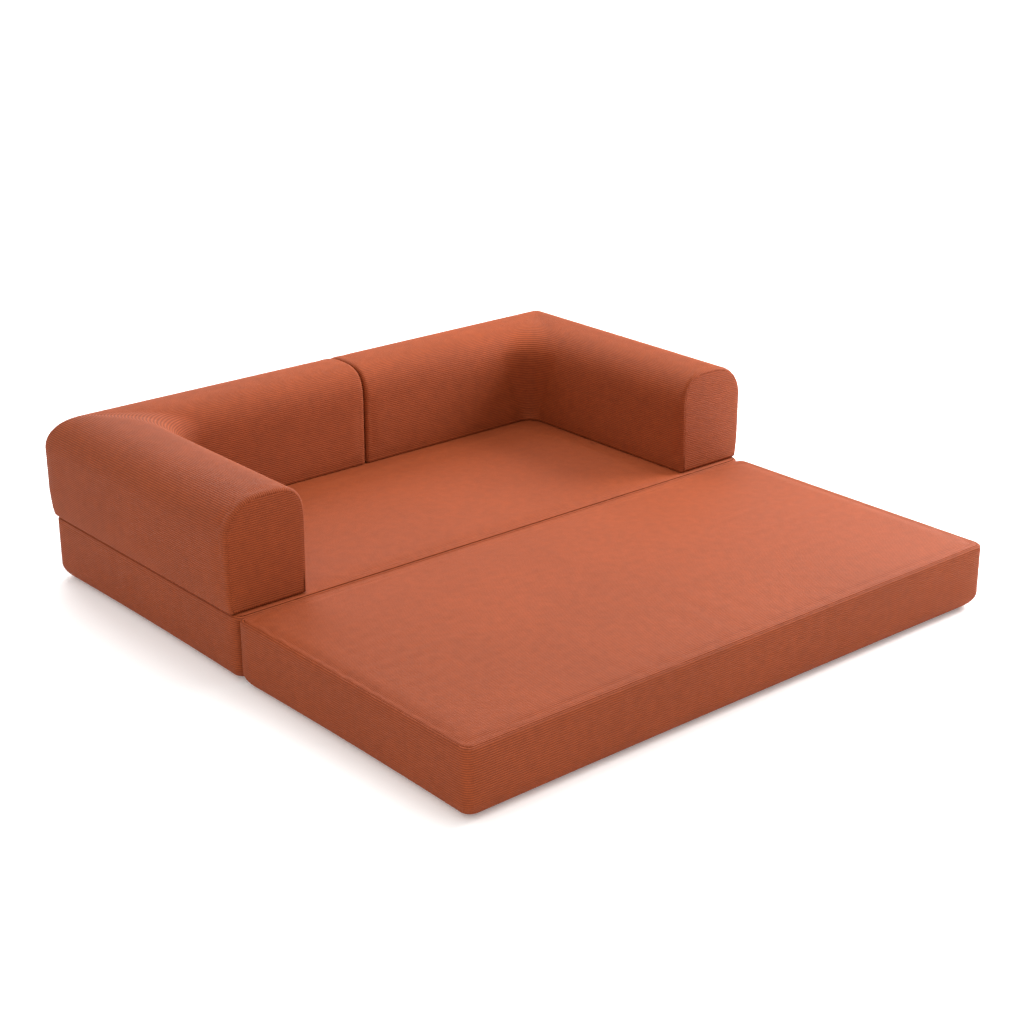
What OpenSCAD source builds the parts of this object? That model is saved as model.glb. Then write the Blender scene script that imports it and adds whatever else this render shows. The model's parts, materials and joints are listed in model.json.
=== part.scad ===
// Modular sofa bed, opened out as a bed. Two foam slabs lie side by side on the floor,
// joined by a cloth hinge, and two L-shaped corner modules stand on the rear slab as
// its arms and back. Every module is a foam core in a zipped, sewn cover.
// X runs along the width, Y from front to back, Z up. The origin is on the floor,
// under the middle of the whole sofa bed.

/* [Slabs] */
// Width of both slabs
width = 2000; // [1500:10:2400]
// Depth of the front slab, which folds out
front_depth = 1000; // [750:10:1200]
// Depth of the base slab, which carries the corner modules
base_depth = 1030; // [850:10:1300]
// Height of each slab along its top edge
slab_height = 205; // [170:5:260]
// Space between the slabs along the hinge
slab_gap = 6; // [5:0.5:12]

/* [Slab form] */
// Corner radius of a slab, seen from above
corner_radius = 32; // [24:1:50]
// Radius of the drawn-in bottom edge
tuck_radius = 50; // [30:1:60]
// Radius of the seamed top edge
edge_radius = 8; // [5:0.5:12]
// Rise of the crown in the middle of a top
crown = 9; // [3:0.5:14]
// How far a free side draws in between its corners
side_draw = 5; // [1:0.5:9]

/* [Corner modules] */
// Thickness of an arm or a back
module_thickness = 255; // [210:5:300]
// Height of an arm or a back above the slab
module_height = 335; // [280:5:400]
// How far the arms stop short of the slab's front edge
arm_setback = 18; // [15:1:40]
// How far the joint between the modules lies to the right of the middle
split_shift = 18; // [-60:1:60]
// Space between the two modules
split_gap = 5; // [3:0.5:10]
// Radius of the outer half of the rounded top
top_radius_outer = 95; // [70:1:105]
// Radius of the inner half of the rounded top
top_radius_inner = 80; // [60:1:95]
// How far the outer side swells past the slab
swell = 13; // [10:0.5:20]
// Radius of the bottom edge of a module
foot_radius = 16; // [10:1:24]
// Radius of the seamed edge of an end face
end_radius = 14; // [5:0.5:18]
// Radius of the outer corner, seen from above
outer_corner = 10; // [6:1:60]
// Radius of the fold in the inner corner, seen from above
inner_corner = 55; // [20:1:90]
// Rise of the crest above the rounded shoulders
crest = 4; // [2:0.5:8]

/* [Layers] */
// Thickness of the ribbed cover cloth
cloth = 2; // [1.5:0.1:3]
// Thickness of the non-slip cloth underneath
sole = 1.6; // [1:0.1:2.4]
// Width of cover cloth turned in under the bottom
turn_in = 12; // [8:1:20]
// Thickness of the soft foam on top of a slab
comfort_foam = 55; // [30:1:80]
// Clearance between neighbouring pieces
clearance = 0.3; // [0.2:0.05:0.4]

/* [Hinge] */
// Height of each leaf of the cloth hinge
leaf_height = 60; // [40:1:80]
// Thickness of the hinge cloth
leaf_cloth = 1.2; // [0.8:0.1:1.6]

/* [Zips] */
// Distance from each end of the base slab's back to its zip
base_zip_margin = 200; // [100:5:300]
// Distance from each end of the front slab's side to its zip
front_zip_margin = 110; // [90:5:200]
// Length of the zips in the corner modules
module_zip = 640; // [300:10:660]
// Height of a slab's zip above the floor
slab_zip_height = 110; // [95:1:125]
// Height of a module's zip above its bottom
module_zip_height = 36; // [34:1:44]
// Width of the zip tape
tape_width = 24; // [18:1:28]
// Thickness of the zip tape
tape = 1; // [0.8:0.1:1.4]
// Width of the coil of teeth
coil_width = 6; // [4:0.5:7]
// How far the coil stands out from the tape
coil_rise = 1.4; // [1:0.1:2]
// Length of a slider
slider_length = 14; // [10:1:18]
// Width of a slider
slider_width = 12; // [11:0.5:14]
// Thickness of a slider's plate and of its pull
slider_plate = 1.8; // [1.2:0.1:2.4]
// Length of a slider's pull
pull_length = 30; // [20:1:34]
// Width of a slider's pull
pull_width = 8; // [6:0.5:10]

/* [Hidden] */

cover_colour = "#b8603f";
sole_colour = "#3b3533";
support_colour = "#e8dcb8";
comfort_colour = "#f2ecd8";
zip_colour = "#8f4a30";
metal_colour = "#b9b4ad";

// Places along Y, which centre the whole sofa bed on the origin
hinge_y = (front_depth - base_depth - swell) / 2;
base_y = hinge_y + (slab_gap + base_depth) / 2;
front_y = hinge_y - (slab_gap + front_depth) / 2;
base_half = [width / 2, base_depth / 2];
front_half = [width / 2, front_depth / 2];
module_back = base_y + base_depth / 2;
module_front = base_y - base_depth / 2 + arm_setback;
module_bottom = slab_height + clearance;

// How finely the forms are cut: steps in an arc, and points along a side
corner_steps = 4;
slab_side_points = 4;
tuck_steps = 4;
edge_steps = 2;
module_corner_steps = 3;
mitre_steps = 4;
module_side_points = 2;
foot_steps = 3;
shoulder_steps = 5;

// Shares of the crown's half width at which its rings lie, from its rim inwards
crown_ring_shares = [1, 0.92, 0.78, 0.55, 0.28];
// How steeply the crown rises at its rim
crown_power = 3;
// Share of the inset by which a slab's lower corners are rounder
lower_corner_share = 0.3;
// Heights of the rings up the side of a module, as shares of the height above its zip
swell_ring_shares = [0, 0.25, 0.5];
// Height up to which the outer side of a module stays flat for its zip
flat_side = module_zip_height + tape_width / 2 + clearance;
// Distance from the rim of a top to the rim of its crown
rim = edge_radius + clearance;

// Faces that join N-point rings one after the other, from the inside of a cup, round
// its lip and up its outside. Between the inner rings, which run downwards, the squares
// are cut along their other diagonal, so that the wall's two sides match
function wall_faces(rings, n, inner) = [
    for (i = [0:rings - 2], j = [0:n - 1])
        let (
            a = i * n + j,
            b = i * n + (j + 1) % n
        )
        each (i < inner - 1
            ? [[a, a + n, b], [b, a + n, b + n]]
            : [[a, a + n, b + n], [a, b + n, b]])
];

// A fan from a point to a ring; up is true where it looks upwards
function fan_faces(start, n, tip, up) = [
    for (j = [0:n - 1])
        up ? [start + (j + 1) % n, start + j, tip] : [start + j, start + (j + 1) % n, tip]
];

// A strip across a ring whose first half runs beside its second half
function strip_faces(start, n, up) = [
    for (j = [0:n / 2 - 2])
        let (
            a = start + j,
            b = start + j + 1,
            c = start + n - 2 - j,
            d = start + n - 1 - j
        )
        each (up ? [[a, c, b], [a, d, c]] : [[a, b, c], [a, c, d]])
];

// A solid through rings, closed at both ends by fans to the points given; inner is how
// many of the first rings line its inside
module fan_loft(rings, inner, first_tip, last_tip) {
    n = len(rings[0]);
    count = len(rings);
    points = concat([for (r = rings) each r], [first_tip, last_tip]);
    polyhedron(points, concat(
        wall_faces(count, n, inner),
        fan_faces(0, n, n * count, false),
        fan_faces(n * (count - 1), n, n * count + 1, true)
    ));
}

// A solid through rings, closed at both ends by strips; inner is as above
module strip_loft(rings, inner) {
    n = len(rings[0]);
    count = len(rings);
    polyhedron([for (r = rings) each r], concat(
        wall_faces(count, n, inner),
        strip_faces(0, n, false),
        strip_faces(n * (count - 1), n, true)
    ));
}

// Slab outline at one height, anticlockwise from the right: half is its half sizes,
// draws are how far its back, left, front and right sides pull in
function slab_ring(half, radius, z, draws) = [
    for (q = [0:3])
        let (
            sign_x = (q == 0 || q == 3) ? 1 : -1,
            sign_y = q < 2 ? 1 : -1,
            normal = [cos(90 * (q + 1)), sin(90 * (q + 1))],
            along = [-normal[1], normal[0]],
            reach = half[(q + 1) % 2],
            run = half[q % 2] - radius
        )
        each concat(
            [for (j = [0:corner_steps])
                let (angle = 90 * (q + j / corner_steps))
                [sign_x * (half[0] - radius) + radius * cos(angle),
                 sign_y * (half[1] - radius) + radius * sin(angle), z]],
            [for (j = [1:slab_side_points])
                let (
                    t = 1 - 2 * j / (slab_side_points + 1),
                    out = reach - draws[q] * (1 - t * t)
                )
                [normal[0] * out - along[0] * t * run,
                 normal[1] * out - along[1] * t * run, z]]
        )
];

// Profile of a slab's side from the bottom up, as insets and heights, all moved in by skin
function slab_profile(skin) = concat(
    [for (j = [0:tuck_steps])
        let (angle = 90 * j / tuck_steps)
        [tuck_radius - (tuck_radius - skin) * sin(angle),
         tuck_radius - (tuck_radius - skin) * cos(angle)]],
    [[skin, (tuck_radius + slab_height - edge_radius) / 2]],
    [for (j = [0:edge_steps])
        let (angle = 90 * j / edge_steps)
        [edge_radius - (edge_radius - skin) * cos(angle),
         slab_height - edge_radius + (edge_radius - skin) * sin(angle)]]
);

// The sides of a slab as rings, moved in by skin
function slab_sides(half, draws, skin) = [
    for (p = slab_profile(skin))
        let (
            inset = p[0],
            high = max(0, 2 * p[1] / slab_height - 1)
        )
        slab_ring(
            [half[0] - inset, half[1] - inset],
            corner_radius + lower_corner_share * (inset - skin) - skin,
            p[1],
            draws * (1 - high)
        )
];

// The crowned top as rings, from the rim of the crown inwards; crown_box is the
// crown's centre along Y and its half sizes
function slab_crown(crown_box, skin) = [
    for (s = crown_ring_shares)
        let (
            ring = slab_ring([crown_box[1], crown_box[2]], corner_radius, 0, [0, 0, 0, 0]),
            z = slab_height - skin + crown * (1 - pow(s, crown_power))
        )
        [for (p = ring) [p[0] * s, crown_box[0] + p[1] * s, z]]
];

// The flat ring round the opening underneath, and the ring just above it
function slab_opening(half, z, extra) =
    slab_ring(
        [half[0] - tuck_radius - turn_in - extra, half[1] - tuck_radius - turn_in - extra],
        corner_radius, z, [0, 0, 0, 0]
    );

module slab_cover(half, draws, crown_box) {
    outer = concat(slab_sides(half, draws, 0), slab_crown(crown_box, 0));
    inner = concat(slab_sides(half, draws, cloth), slab_crown(crown_box, cloth));
    rings = concat(
        [for (i = [len(inner) - 1:-1:0]) inner[i]],
        [slab_opening(half, cloth, 0), slab_opening(half, 0, 0)],
        outer
    );
    fan_loft(
        rings,
        len(inner),
        [0, crown_box[0], slab_height - cloth + crown],
        [0, crown_box[0], slab_height + crown]
    );
}

module slab_sole(half) {
    linear_extrude(height = sole)
        polygon([for (p = slab_opening(half, 0, clearance)) [p[0], p[1]]]);
}

// The whole foam of a slab, which fills its cover
module slab_foam(half, draws, crown_box) {
    skin = cloth + clearance;
    rings = concat(slab_sides(half, draws, skin), slab_crown(crown_box, skin));
    fan_loft(rings, 0, [0, 0, skin], [0, crown_box[0], slab_height - skin + crown]);
}

// A block that holds everything of a slab between two heights
module slab_layer(half, low, high) {
    translate([-half[0], -half[1], low])
        cube([2 * half[0], 2 * half[1], high - low]);
}

// Height of the glued joint between the two foams of a slab
foam_joint = slab_height - comfort_foam;

module slab_support_foam(half, draws, crown_box) {
    intersection() {
        slab_foam(half, draws, crown_box);
        slab_layer(half, 0, foam_joint - clearance / 2);
    }
}

module slab_comfort_foam(half, draws, crown_box) {
    intersection() {
        slab_foam(half, draws, crown_box);
        slab_layer(half, foam_joint + clearance / 2, slab_height + 2 * crown);
    }
}

// How far the rounded inner corner of a module reaches into the corner of the seat
corner_fill = inner_corner * (1 - sqrt(1 / 2));
seat_half_width = width / 2 - module_thickness - corner_fill;
seat_depth = base_depth - module_thickness - corner_fill - rim;
// The base's crown fills the seat between the arms and the back; under them the top is flat
base_crown = [rim - base_depth / 2 + seat_depth / 2, seat_half_width, seat_depth / 2];
front_crown = [0, width / 2 - rim, front_depth / 2 - rim];
base_draws = [0, side_draw, 0, side_draw];
front_draws = [0, side_draw, side_draw, 0];

// Module outline at one height, anticlockwise from the inner corner of the back's end.
// The insets move the inner side, the outer side and both end faces; the two heights
// are those of the inner and the outer side. It is drawn for the right-hand module.
function module_ring(start, in_inner, in_outer, in_end, low_z, high_z) =
    let (
        x_in = width / 2 - module_thickness + in_inner,
        x_out = width / 2 - in_outer,
        y_in = module_back - module_thickness + in_inner,
        y_out = module_back - in_outer,
        x_end = start + in_end,
        y_end = module_front + in_end,
        r = end_radius,
        spread = (in_inner + in_outer) / module_thickness,
        fold = inner_corner + (outer_corner - inner_corner) * in_inner / module_thickness,
        bend = outer_corner - (outer_corner - inner_corner) * max(0, in_outer) / module_thickness
    )
    concat(
        arc_points([x_end + r, y_in + r], r, 180, 270, module_corner_steps, low_z),
        side_points([x_end + r, y_in], [x_in - fold, y_in], low_z),
        arc_points([x_in - fold, y_in - fold], fold, 90, 0, mitre_steps, low_z),
        side_points([x_in, y_in - fold], [x_in, y_end + r], low_z),
        arc_points([x_in + r, y_end + r], r, 180, 270, module_corner_steps, low_z),
        arc_points([x_out - r, y_end + r], r, 270, 360, module_corner_steps, high_z),
        side_points([x_out, y_end + r], [x_out, y_out - bend], high_z),
        arc_points([x_out - bend, y_out - bend], bend, 0, 90, mitre_steps, high_z),
        side_points([x_out - bend, y_out], [x_end + r, y_out], high_z),
        arc_points([x_end + r, y_out - r], r, 90, 180, module_corner_steps, high_z)
    );

function arc_points(centre, radius, from, to, steps, z) = [
    for (j = [0:steps])
        let (angle = from + (to - from) * j / steps)
        [centre[0] + radius * cos(angle), centre[1] + radius * sin(angle), z]
];

function side_points(from, to, z) = [
    for (j = [1:module_side_points])
        let (t = j / (module_side_points + 1))
        [from[0] + (to[0] - from[0]) * t, from[1] + (to[1] - from[1]) * t, z]
];

// How far the outer side stands out at a height above the module's bottom
function swell_at(z) =
    z <= flat_side ? 0 : swell * sin(180 * (z - flat_side) / (module_height - flat_side));

// Profile of a module from the bottom up: inner inset, outer inset, end inset, inner
// height and outer height
function module_profile(skin) = concat(
    [for (j = [0:foot_steps])
        let (
            angle = 90 * j / foot_steps,
            inset = foot_radius - (foot_radius - skin) * sin(angle),
            z = foot_radius - (foot_radius - skin) * cos(angle)
        )
        [inset, inset, inset, z, z]],
    [for (s = swell_ring_shares)
        let (z = flat_side + s * (module_height - flat_side))
        [skin, skin - swell_at(z), skin, z, z]],
    [for (j = [1:shoulder_steps])
        let (
            angle = 90 * j / shoulder_steps,
            z_in = shoulder(top_radius_inner) + (top_radius_inner - skin) * sin(angle),
            z_out = shoulder(top_radius_outer) + (top_radius_outer - skin) * sin(angle)
        )
        [top_radius_inner - (top_radius_inner - skin) * cos(angle),
         top_radius_outer - (top_radius_outer - skin) * cos(angle) - swell_at(z_out),
         skin + end_radius * (1 - cos(angle)) / 2, z_in, z_out]],
    [[crest_inset(top_radius_inner), crest_inset(top_radius_outer), skin + end_radius,
      module_height - skin, module_height - skin]]
);

// Height of the centre of a rounded shoulder
function shoulder(radius) = module_height - crest - radius;

// Inset of the crest, which is halfway between its shoulder and the middle of the top
function crest_inset(radius) =
    radius + (module_thickness - top_radius_inner - top_radius_outer) / 4;

function module_rings(start, skin) = [
    for (p = module_profile(skin))
        module_ring(start, p[0], p[1], p[2], module_bottom + p[3], module_bottom + p[4])
];

function module_opening(start, z, extra) =
    let (inset = foot_radius + turn_in + extra)
    module_ring(start, inset, inset, inset, module_bottom + z, module_bottom + z);

module module_cover(start) {
    outer = module_rings(start, 0);
    inner = module_rings(start, cloth);
    rings = concat(
        [for (i = [len(inner) - 1:-1:0]) inner[i]],
        [module_opening(start, cloth, 0), module_opening(start, 0, 0)],
        outer
    );
    strip_loft(rings, len(inner));
}

module module_sole(start) {
    translate([0, 0, module_bottom])
        linear_extrude(height = sole)
            polygon([for (p = module_opening(start, 0, clearance)) [p[0], p[1]]]);
}

module module_foam(start) {
    strip_loft(module_rings(start, cloth + clearance), 0);
}

// The half of space on one side of the mitre between a module's back and arm: side is
// 1 for the back and -1 for the arm
module mitre_side(side) {
    far = width + base_depth;
    translate([width / 2, module_back, 0])
        rotate([0, 0, 45])
            translate([-far, side > 0 ? clearance / 2 : -far - clearance / 2, 0])
                cube([2 * far, far, module_bottom + 2 * module_height]);
}

module module_back_foam(start) {
    intersection() {
        module_foam(start);
        mitre_side(1);
    }
}

module module_arm_foam(start) {
    intersection() {
        module_foam(start);
        mitre_side(-1);
    }
}

// Where each module's back starts, measured from the middle towards its own side
right_start = split_shift + split_gap / 2;
left_start = split_gap / 2 - split_shift;

// A zip along X on a wall that faces +Y: its two tapes and its coil of teeth
module zip(length) {
    translate([-length / 2, clearance, -tape_width / 2])
        cube([length, tape, tape_width]);
    translate([-length / 2, clearance, -coil_width / 2])
        cube([length, tape + coil_rise, coil_width]);
}

// A slider that rides over the coil, with its pull hanging down
module zip_slider() {
    flank = (slider_width - coil_width) / 2 - clearance;
    face = tape + 2 * clearance;
    plate_y = face + coil_rise;
    pull_y = plate_y + slider_plate;
    for (side = [0, 1])
        translate([0, face, side * (slider_width - flank) - slider_width / 2])
            cube([slider_length, coil_rise + slider_plate, flank]);
    translate([0, plate_y, -slider_width / 2])
        cube([slider_length, slider_plate, slider_width]);
    translate([(slider_length - pull_width) / 2, pull_y, -pull_length]) {
        cube([pull_width, slider_plate, pull_length]);
        translate([pull_width / 2, 0, 0])
            rotate([-90, 0, 0])
                cylinder(h = slider_plate, d = pull_width, $fn = 32);
    }
}

// One leaf of the cloth hinge, hanging in the gap; side is 1 on the base slab and -1
// on the front slab
leaf_length = width - 4 * corner_radius;
module hinge_leaf(side) {
    wall = slab_gap / 2 - clearance;
    translate([-leaf_length / 2, hinge_y, slab_height])
        mirror([0, side > 0 ? 0 : 1, 0]) {
            translate([0, wall - leaf_cloth, -edge_radius - leaf_height])
                cube([leaf_length, leaf_cloth, edge_radius + leaf_height]);
            translate([0, clearance / 2, -leaf_cloth])
                cube([leaf_length, wall - leaf_cloth - clearance / 2, leaf_cloth]);
        }
}

// Lengths of the slabs' zips
base_zip_length = width - 2 * base_zip_margin;
front_zip_length = front_depth - 2 * front_zip_margin;

// Places of the zips: each puts the middle of a zip on the wall that carries it
module on_base_back() {
    translate([0, base_y + base_depth / 2, slab_zip_height])
        children();
}

module on_front_side() {
    translate([width / 2, front_y, slab_zip_height])
        rotate([0, 0, -90])
            children();
}

module_zip_x = (right_start + width / 2 - outer_corner) / 2;
module on_module_back() {
    translate([module_zip_x, module_back, module_bottom + module_zip_height])
        children();
}

module base_cover() {
    color(cover_colour) translate([0, base_y, 0]) slab_cover(base_half, base_draws, base_crown);
}

module base_sole() {
    color(sole_colour) translate([0, base_y, 0]) slab_sole(base_half);
}

module base_support_foam() {
    color(support_colour) translate([0, base_y, 0])
        slab_support_foam(base_half, base_draws, base_crown);
}

module base_comfort_foam() {
    color(comfort_colour) translate([0, base_y, 0])
        slab_comfort_foam(base_half, base_draws, base_crown);
}

module base_zip() {
    color(zip_colour) on_base_back() zip(base_zip_length);
}

module base_zip_slider() {
    color(metal_colour) on_base_back() translate([-base_zip_length / 2, 0, 0]) zip_slider();
}

module hinge_leaf_base() {
    color(cover_colour) hinge_leaf(1);
}

module front_cover() {
    color(cover_colour) translate([0, front_y, 0])
        slab_cover(front_half, front_draws, front_crown);
}

module front_sole() {
    color(sole_colour) translate([0, front_y, 0]) slab_sole(front_half);
}

module front_support_foam() {
    color(support_colour) translate([0, front_y, 0])
        slab_support_foam(front_half, front_draws, front_crown);
}

module front_comfort_foam() {
    color(comfort_colour) translate([0, front_y, 0])
        slab_comfort_foam(front_half, front_draws, front_crown);
}

module front_zip() {
    color(zip_colour) on_front_side() zip(front_zip_length);
}

module front_zip_slider() {
    color(metal_colour) on_front_side() translate([-front_zip_length / 2, 0, 0]) zip_slider();
}

module hinge_leaf_front() {
    color(cover_colour) hinge_leaf(-1);
}

module left_cover() {
    color(cover_colour) mirror([1, 0, 0]) module_cover(left_start);
}

module left_sole() {
    color(sole_colour) mirror([1, 0, 0]) module_sole(left_start);
}

module left_back_foam() {
    color(support_colour) mirror([1, 0, 0]) module_back_foam(left_start);
}

module left_arm_foam() {
    color(support_colour) mirror([1, 0, 0]) module_arm_foam(left_start);
}

module left_zip() {
    color(zip_colour) mirror([1, 0, 0]) on_module_back() zip(module_zip);
}

module left_zip_slider() {
    color(metal_colour) mirror([1, 0, 0])
        on_module_back() translate([-module_zip / 2, 0, 0]) zip_slider();
}

module right_cover() {
    color(cover_colour) module_cover(right_start);
}

module right_sole() {
    color(sole_colour) module_sole(right_start);
}

module right_back_foam() {
    color(support_colour) module_back_foam(right_start);
}

module right_arm_foam() {
    color(support_colour) module_arm_foam(right_start);
}

module right_zip() {
    color(zip_colour) on_module_back() zip(module_zip);
}

module right_zip_slider() {
    color(metal_colour) on_module_back() translate([-module_zip / 2, 0, 0]) zip_slider();
}

base_cover();
base_sole();
base_support_foam();
base_comfort_foam();
base_zip();
base_zip_slider();
hinge_leaf_base();
front_cover();
front_sole();
front_support_foam();
front_comfort_foam();
front_zip();
front_zip_slider();
hinge_leaf_front();
left_cover();
left_sole();
left_back_foam();
left_arm_foam();
left_zip();
left_zip_slider();
right_cover();
right_sole();
right_back_foam();
right_arm_foam();
right_zip();
right_zip_slider();
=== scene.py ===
# Modular sofa bed: the finished look of its four cushions, their undersides, the hinge
# cloth and the zips, with a plain studio stage. Lengths are in metres.
import json
import math

import bmesh
import bpy
import numpy as np
from mathutils import Matrix, Vector
from mathutils.kdtree import KDTree


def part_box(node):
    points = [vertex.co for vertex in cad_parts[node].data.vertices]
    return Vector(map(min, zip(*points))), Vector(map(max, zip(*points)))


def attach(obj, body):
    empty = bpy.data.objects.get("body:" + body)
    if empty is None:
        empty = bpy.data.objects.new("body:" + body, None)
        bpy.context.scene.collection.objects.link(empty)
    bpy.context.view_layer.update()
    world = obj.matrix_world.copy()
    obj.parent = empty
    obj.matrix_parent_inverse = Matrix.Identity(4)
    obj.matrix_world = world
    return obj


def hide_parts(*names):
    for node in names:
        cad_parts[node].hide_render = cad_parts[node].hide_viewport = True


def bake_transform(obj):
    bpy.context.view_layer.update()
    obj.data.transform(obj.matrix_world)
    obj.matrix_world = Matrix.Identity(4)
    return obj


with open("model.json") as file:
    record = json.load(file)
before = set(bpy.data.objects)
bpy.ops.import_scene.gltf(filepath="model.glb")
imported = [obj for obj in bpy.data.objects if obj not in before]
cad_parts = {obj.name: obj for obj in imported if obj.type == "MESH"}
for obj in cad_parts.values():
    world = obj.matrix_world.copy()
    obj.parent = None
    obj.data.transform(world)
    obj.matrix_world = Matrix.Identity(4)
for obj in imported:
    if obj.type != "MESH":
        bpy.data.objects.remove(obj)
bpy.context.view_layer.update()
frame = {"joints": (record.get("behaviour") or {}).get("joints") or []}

bl_info = {
    "name": "Modular sofa bed",
    "version": (1, 0, 0),
    "blender": (4, 5, 0),
    "location": "3D view > Sidebar > Sofa bed",
    "description": "Dresses a modular foam sofa bed in its ribbed covers",
    "category": "Object",
}

SLAB_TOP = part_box("hinge_leaf_base")[1].z
MODULE_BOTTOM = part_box("left_cover")[0].z
MODULE_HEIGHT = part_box("left_cover")[1].z - MODULE_BOTTOM


def length(name, description, default):
    """A length that a user can set, in metres."""
    return bpy.props.FloatProperty(
        name=name, description=description, default=default, min=0, unit="LENGTH", precision=4
    )


def colour(name, description, default):
    """A colour that a user can set, in linear red, green and blue."""
    return bpy.props.FloatVectorProperty(
        name=name, description=description, default=default, size=3, min=0, max=1, subtype="COLOR"
    )


def share(name, description, default):
    """A share from 0 to 1 that a user can set."""
    return bpy.props.FloatProperty(
        name=name, description=description, default=default, min=0, max=1, subtype="FACTOR"
    )


class CoverSizes(bpy.types.PropertyGroup):
    """Sizes of the ribbed cloth and its seams."""
    rib_pitch: length("Rib pitch", "Distance from one rib of the cloth to the next", 0.0065)
    rib_depth: length("Rib depth", "Depth of the grooves between the ribs", 0.0016)
    column_step: length("Column step", "Longest quad along a rib", 0.030)
    seam_depth: length("Seam depth", "How far both panels sink into a seam", 0.0022)
    seam_width: length("Seam width", "Width of a panel's turn into a seam", 0.0036)
    end_seam: length("End seam", "Depth of the seams round the corner modules' end faces", 0.0005)
    worn_share: share("Worn share", "How much flatter the ribs are in the middle of a slab's top", 0.30)
    worn_reach: length("Worn reach", "Distance from a slab's edge in which its ribs grow flatter", 0.090)
    mitre_depth: length("Mitre depth", "Depth of the mitre seams of the corner modules", 0.0011)
    puff_limit: length("Puff limit", "The furthest that the simulation may move the cloth", 0.0045)
    turn_in: length("Turn-in", "Width of the cover's edge that is turned in underneath", 0.012)
    recess: length("Recess", "Height of the underside above the turned-in edge", 0.0019)


class SlabSizes(bpy.types.PropertyGroup):
    """Sizes of the two slabs' forms."""
    corner_radius: length("Corner radius", "Corner radius seen from above", 0.024)
    lower_corner: share("Lower corner share", "Share of the inset that rounds a lower corner", 0.3)
    tuck_radius: length("Tuck radius", "Radius of the drawn-in bottom edge", 0.050)
    edge_radius: length("Edge radius", "Radius of the seamed top edge", 0.008)
    crown: length("Crown", "Rise of the top's middle", 0.009)
    side_draw: length("Side draw", "How far a free side draws in between its corners", 0.005)
    fall: length("Fall", "How far the base slab's front edge falls away towards the hinge", 0.008)
    fall_width: length("Fall width", "Width of that edge", 0.018)


class ModuleSizes(bpy.types.PropertyGroup):
    """Sizes of the corner modules' forms."""
    thickness: length("Thickness", "Thickness of an arm or a back", 0.255)
    outer_arch: length("Outer arch", "Height of the rounded top's outer half", 0.115)
    inner_arch: length("Inner arch", "Height of the rounded top's inner half", 0.114)
    swell: length("Swell", "How far the outer side swells past the slab", 0.010)
    inner_swell: length("Inner swell", "How far the side towards the seat swells", 0.003)
    swell_height: length("Swell height", "Height in which the swell grows", 0.110)
    flat_side: length("Flat side", "Height up to which the rear stays flat for its zip", 0.0483)
    side_form: length("Side form", "Distance from the corner where the rear becomes like the side", 0.040)
    foot_radius: length("Foot radius", "Radius of the bottom edge", 0.008)
    end_radius: length("End radius", "Radius of an end face's edge", 0.011)
    outer_corner: length("Outer corner", "Radius of the outer corner, seen from above", 0.010)
    inner_corner: length("Inner corner", "Radius of the inner corner at the seat", 0.055)
    valley: length("Valley radius", "Radius of the inner corner up at the rounded top", 0.145)
    end_bulge: length("End bulge", "How far an end face bulges in its middle", 0.0035)


class ZipSizes(bpy.types.PropertyGroup):
    """Sizes of the zips' tapes, teeth and sliders."""
    clearance: length("Clearance", "Space between the cover and the tapes", 0.0003)
    tape: length("Tape", "Thickness of the tapes", 0.0010)
    tape_gap: length("Tape gap", "Space between the two tapes under the coil", 0.0008)
    hem_width: length("Hem width", "Width of the cover's hem on each tape", 0.0055)
    hem: length("Hem", "Thickness of the cover's hem on each tape", 0.0012)
    tooth_pitch: length("Tooth pitch", "Distance from one turn of the coil to the next", 0.0019)
    tooth_radius: length("Tooth radius", "Radius of one turn of the coil", 0.00065)
    tooth_length: length("Tooth length", "Length of one turn of the coil", 0.0036)
    stop_length: length("Stop length", "Length of the stops at a zip's ends", 0.0035)
    plate: length("Plate", "Thickness of a slider's plate", 0.0018)
    flank: length("Flank", "Width of a slider's two flanks", 0.0016)
    bridge_radius: length("Bridge radius", "Radius of the bridge that holds the pull", 0.0017)
    bridge_wire: length("Bridge wire", "Radius of the bridge's metal", 0.0006)
    pull: length("Pull", "Thickness of the pull", 0.0012)
    pull_width: length("Pull width", "Width of the pull", 0.008)
    pull_eye: length("Pull eye", "Radius of the pull's eye", 0.0026)


class ClothSizes(bpy.types.PropertyGroup):
    """Sizes of the hinge cloth and the undersides' cloth."""
    thickness: length("Thickness", "Thickness of the cloth", 0.0011)
    hinge_dip: length("Hinge dip", "How deep the hinge cloth lies between the slabs", 0.0105)
    hinge_space: length("Hinge space", "Space between the hinge cloth and each slab", 0.0005)
    corner: length("Corner", "Corner radius of the undersides' cloth", 0.022)


class Finishes(bpy.types.PropertyGroup):
    """Colours of the materials."""
    cloth: colour("Cloth", "Terracotta of the ribs", (0.275, 0.0505, 0.0098))
    # Painted shade: the colour that the grooves between the ribs are blended towards, standing in for the
    # shade that falls in them
    groove: colour("Grooves", "Darker terracotta between the ribs", (0.143, 0.0232, 0.0041))
    underside: colour("Underside", "Dark non-slip cloth", (0.035, 0.031, 0.030))
    tape: colour("Zip tape", "Woven zip tape, dyed to match", (0.24, 0.060, 0.026))
    coil: colour("Zip coil", "Moulded coil, dyed to match", (0.30, 0.080, 0.036))
    metal: colour("Slider metal", "Plated zinc", (0.30, 0.29, 0.28))
    floor: colour("Floor", "Plain pale floor", (0.94, 0.94, 0.94))


def settings():
    """The sizes and colours held by the scene."""
    return bpy.context.scene.sofa_bed


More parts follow.
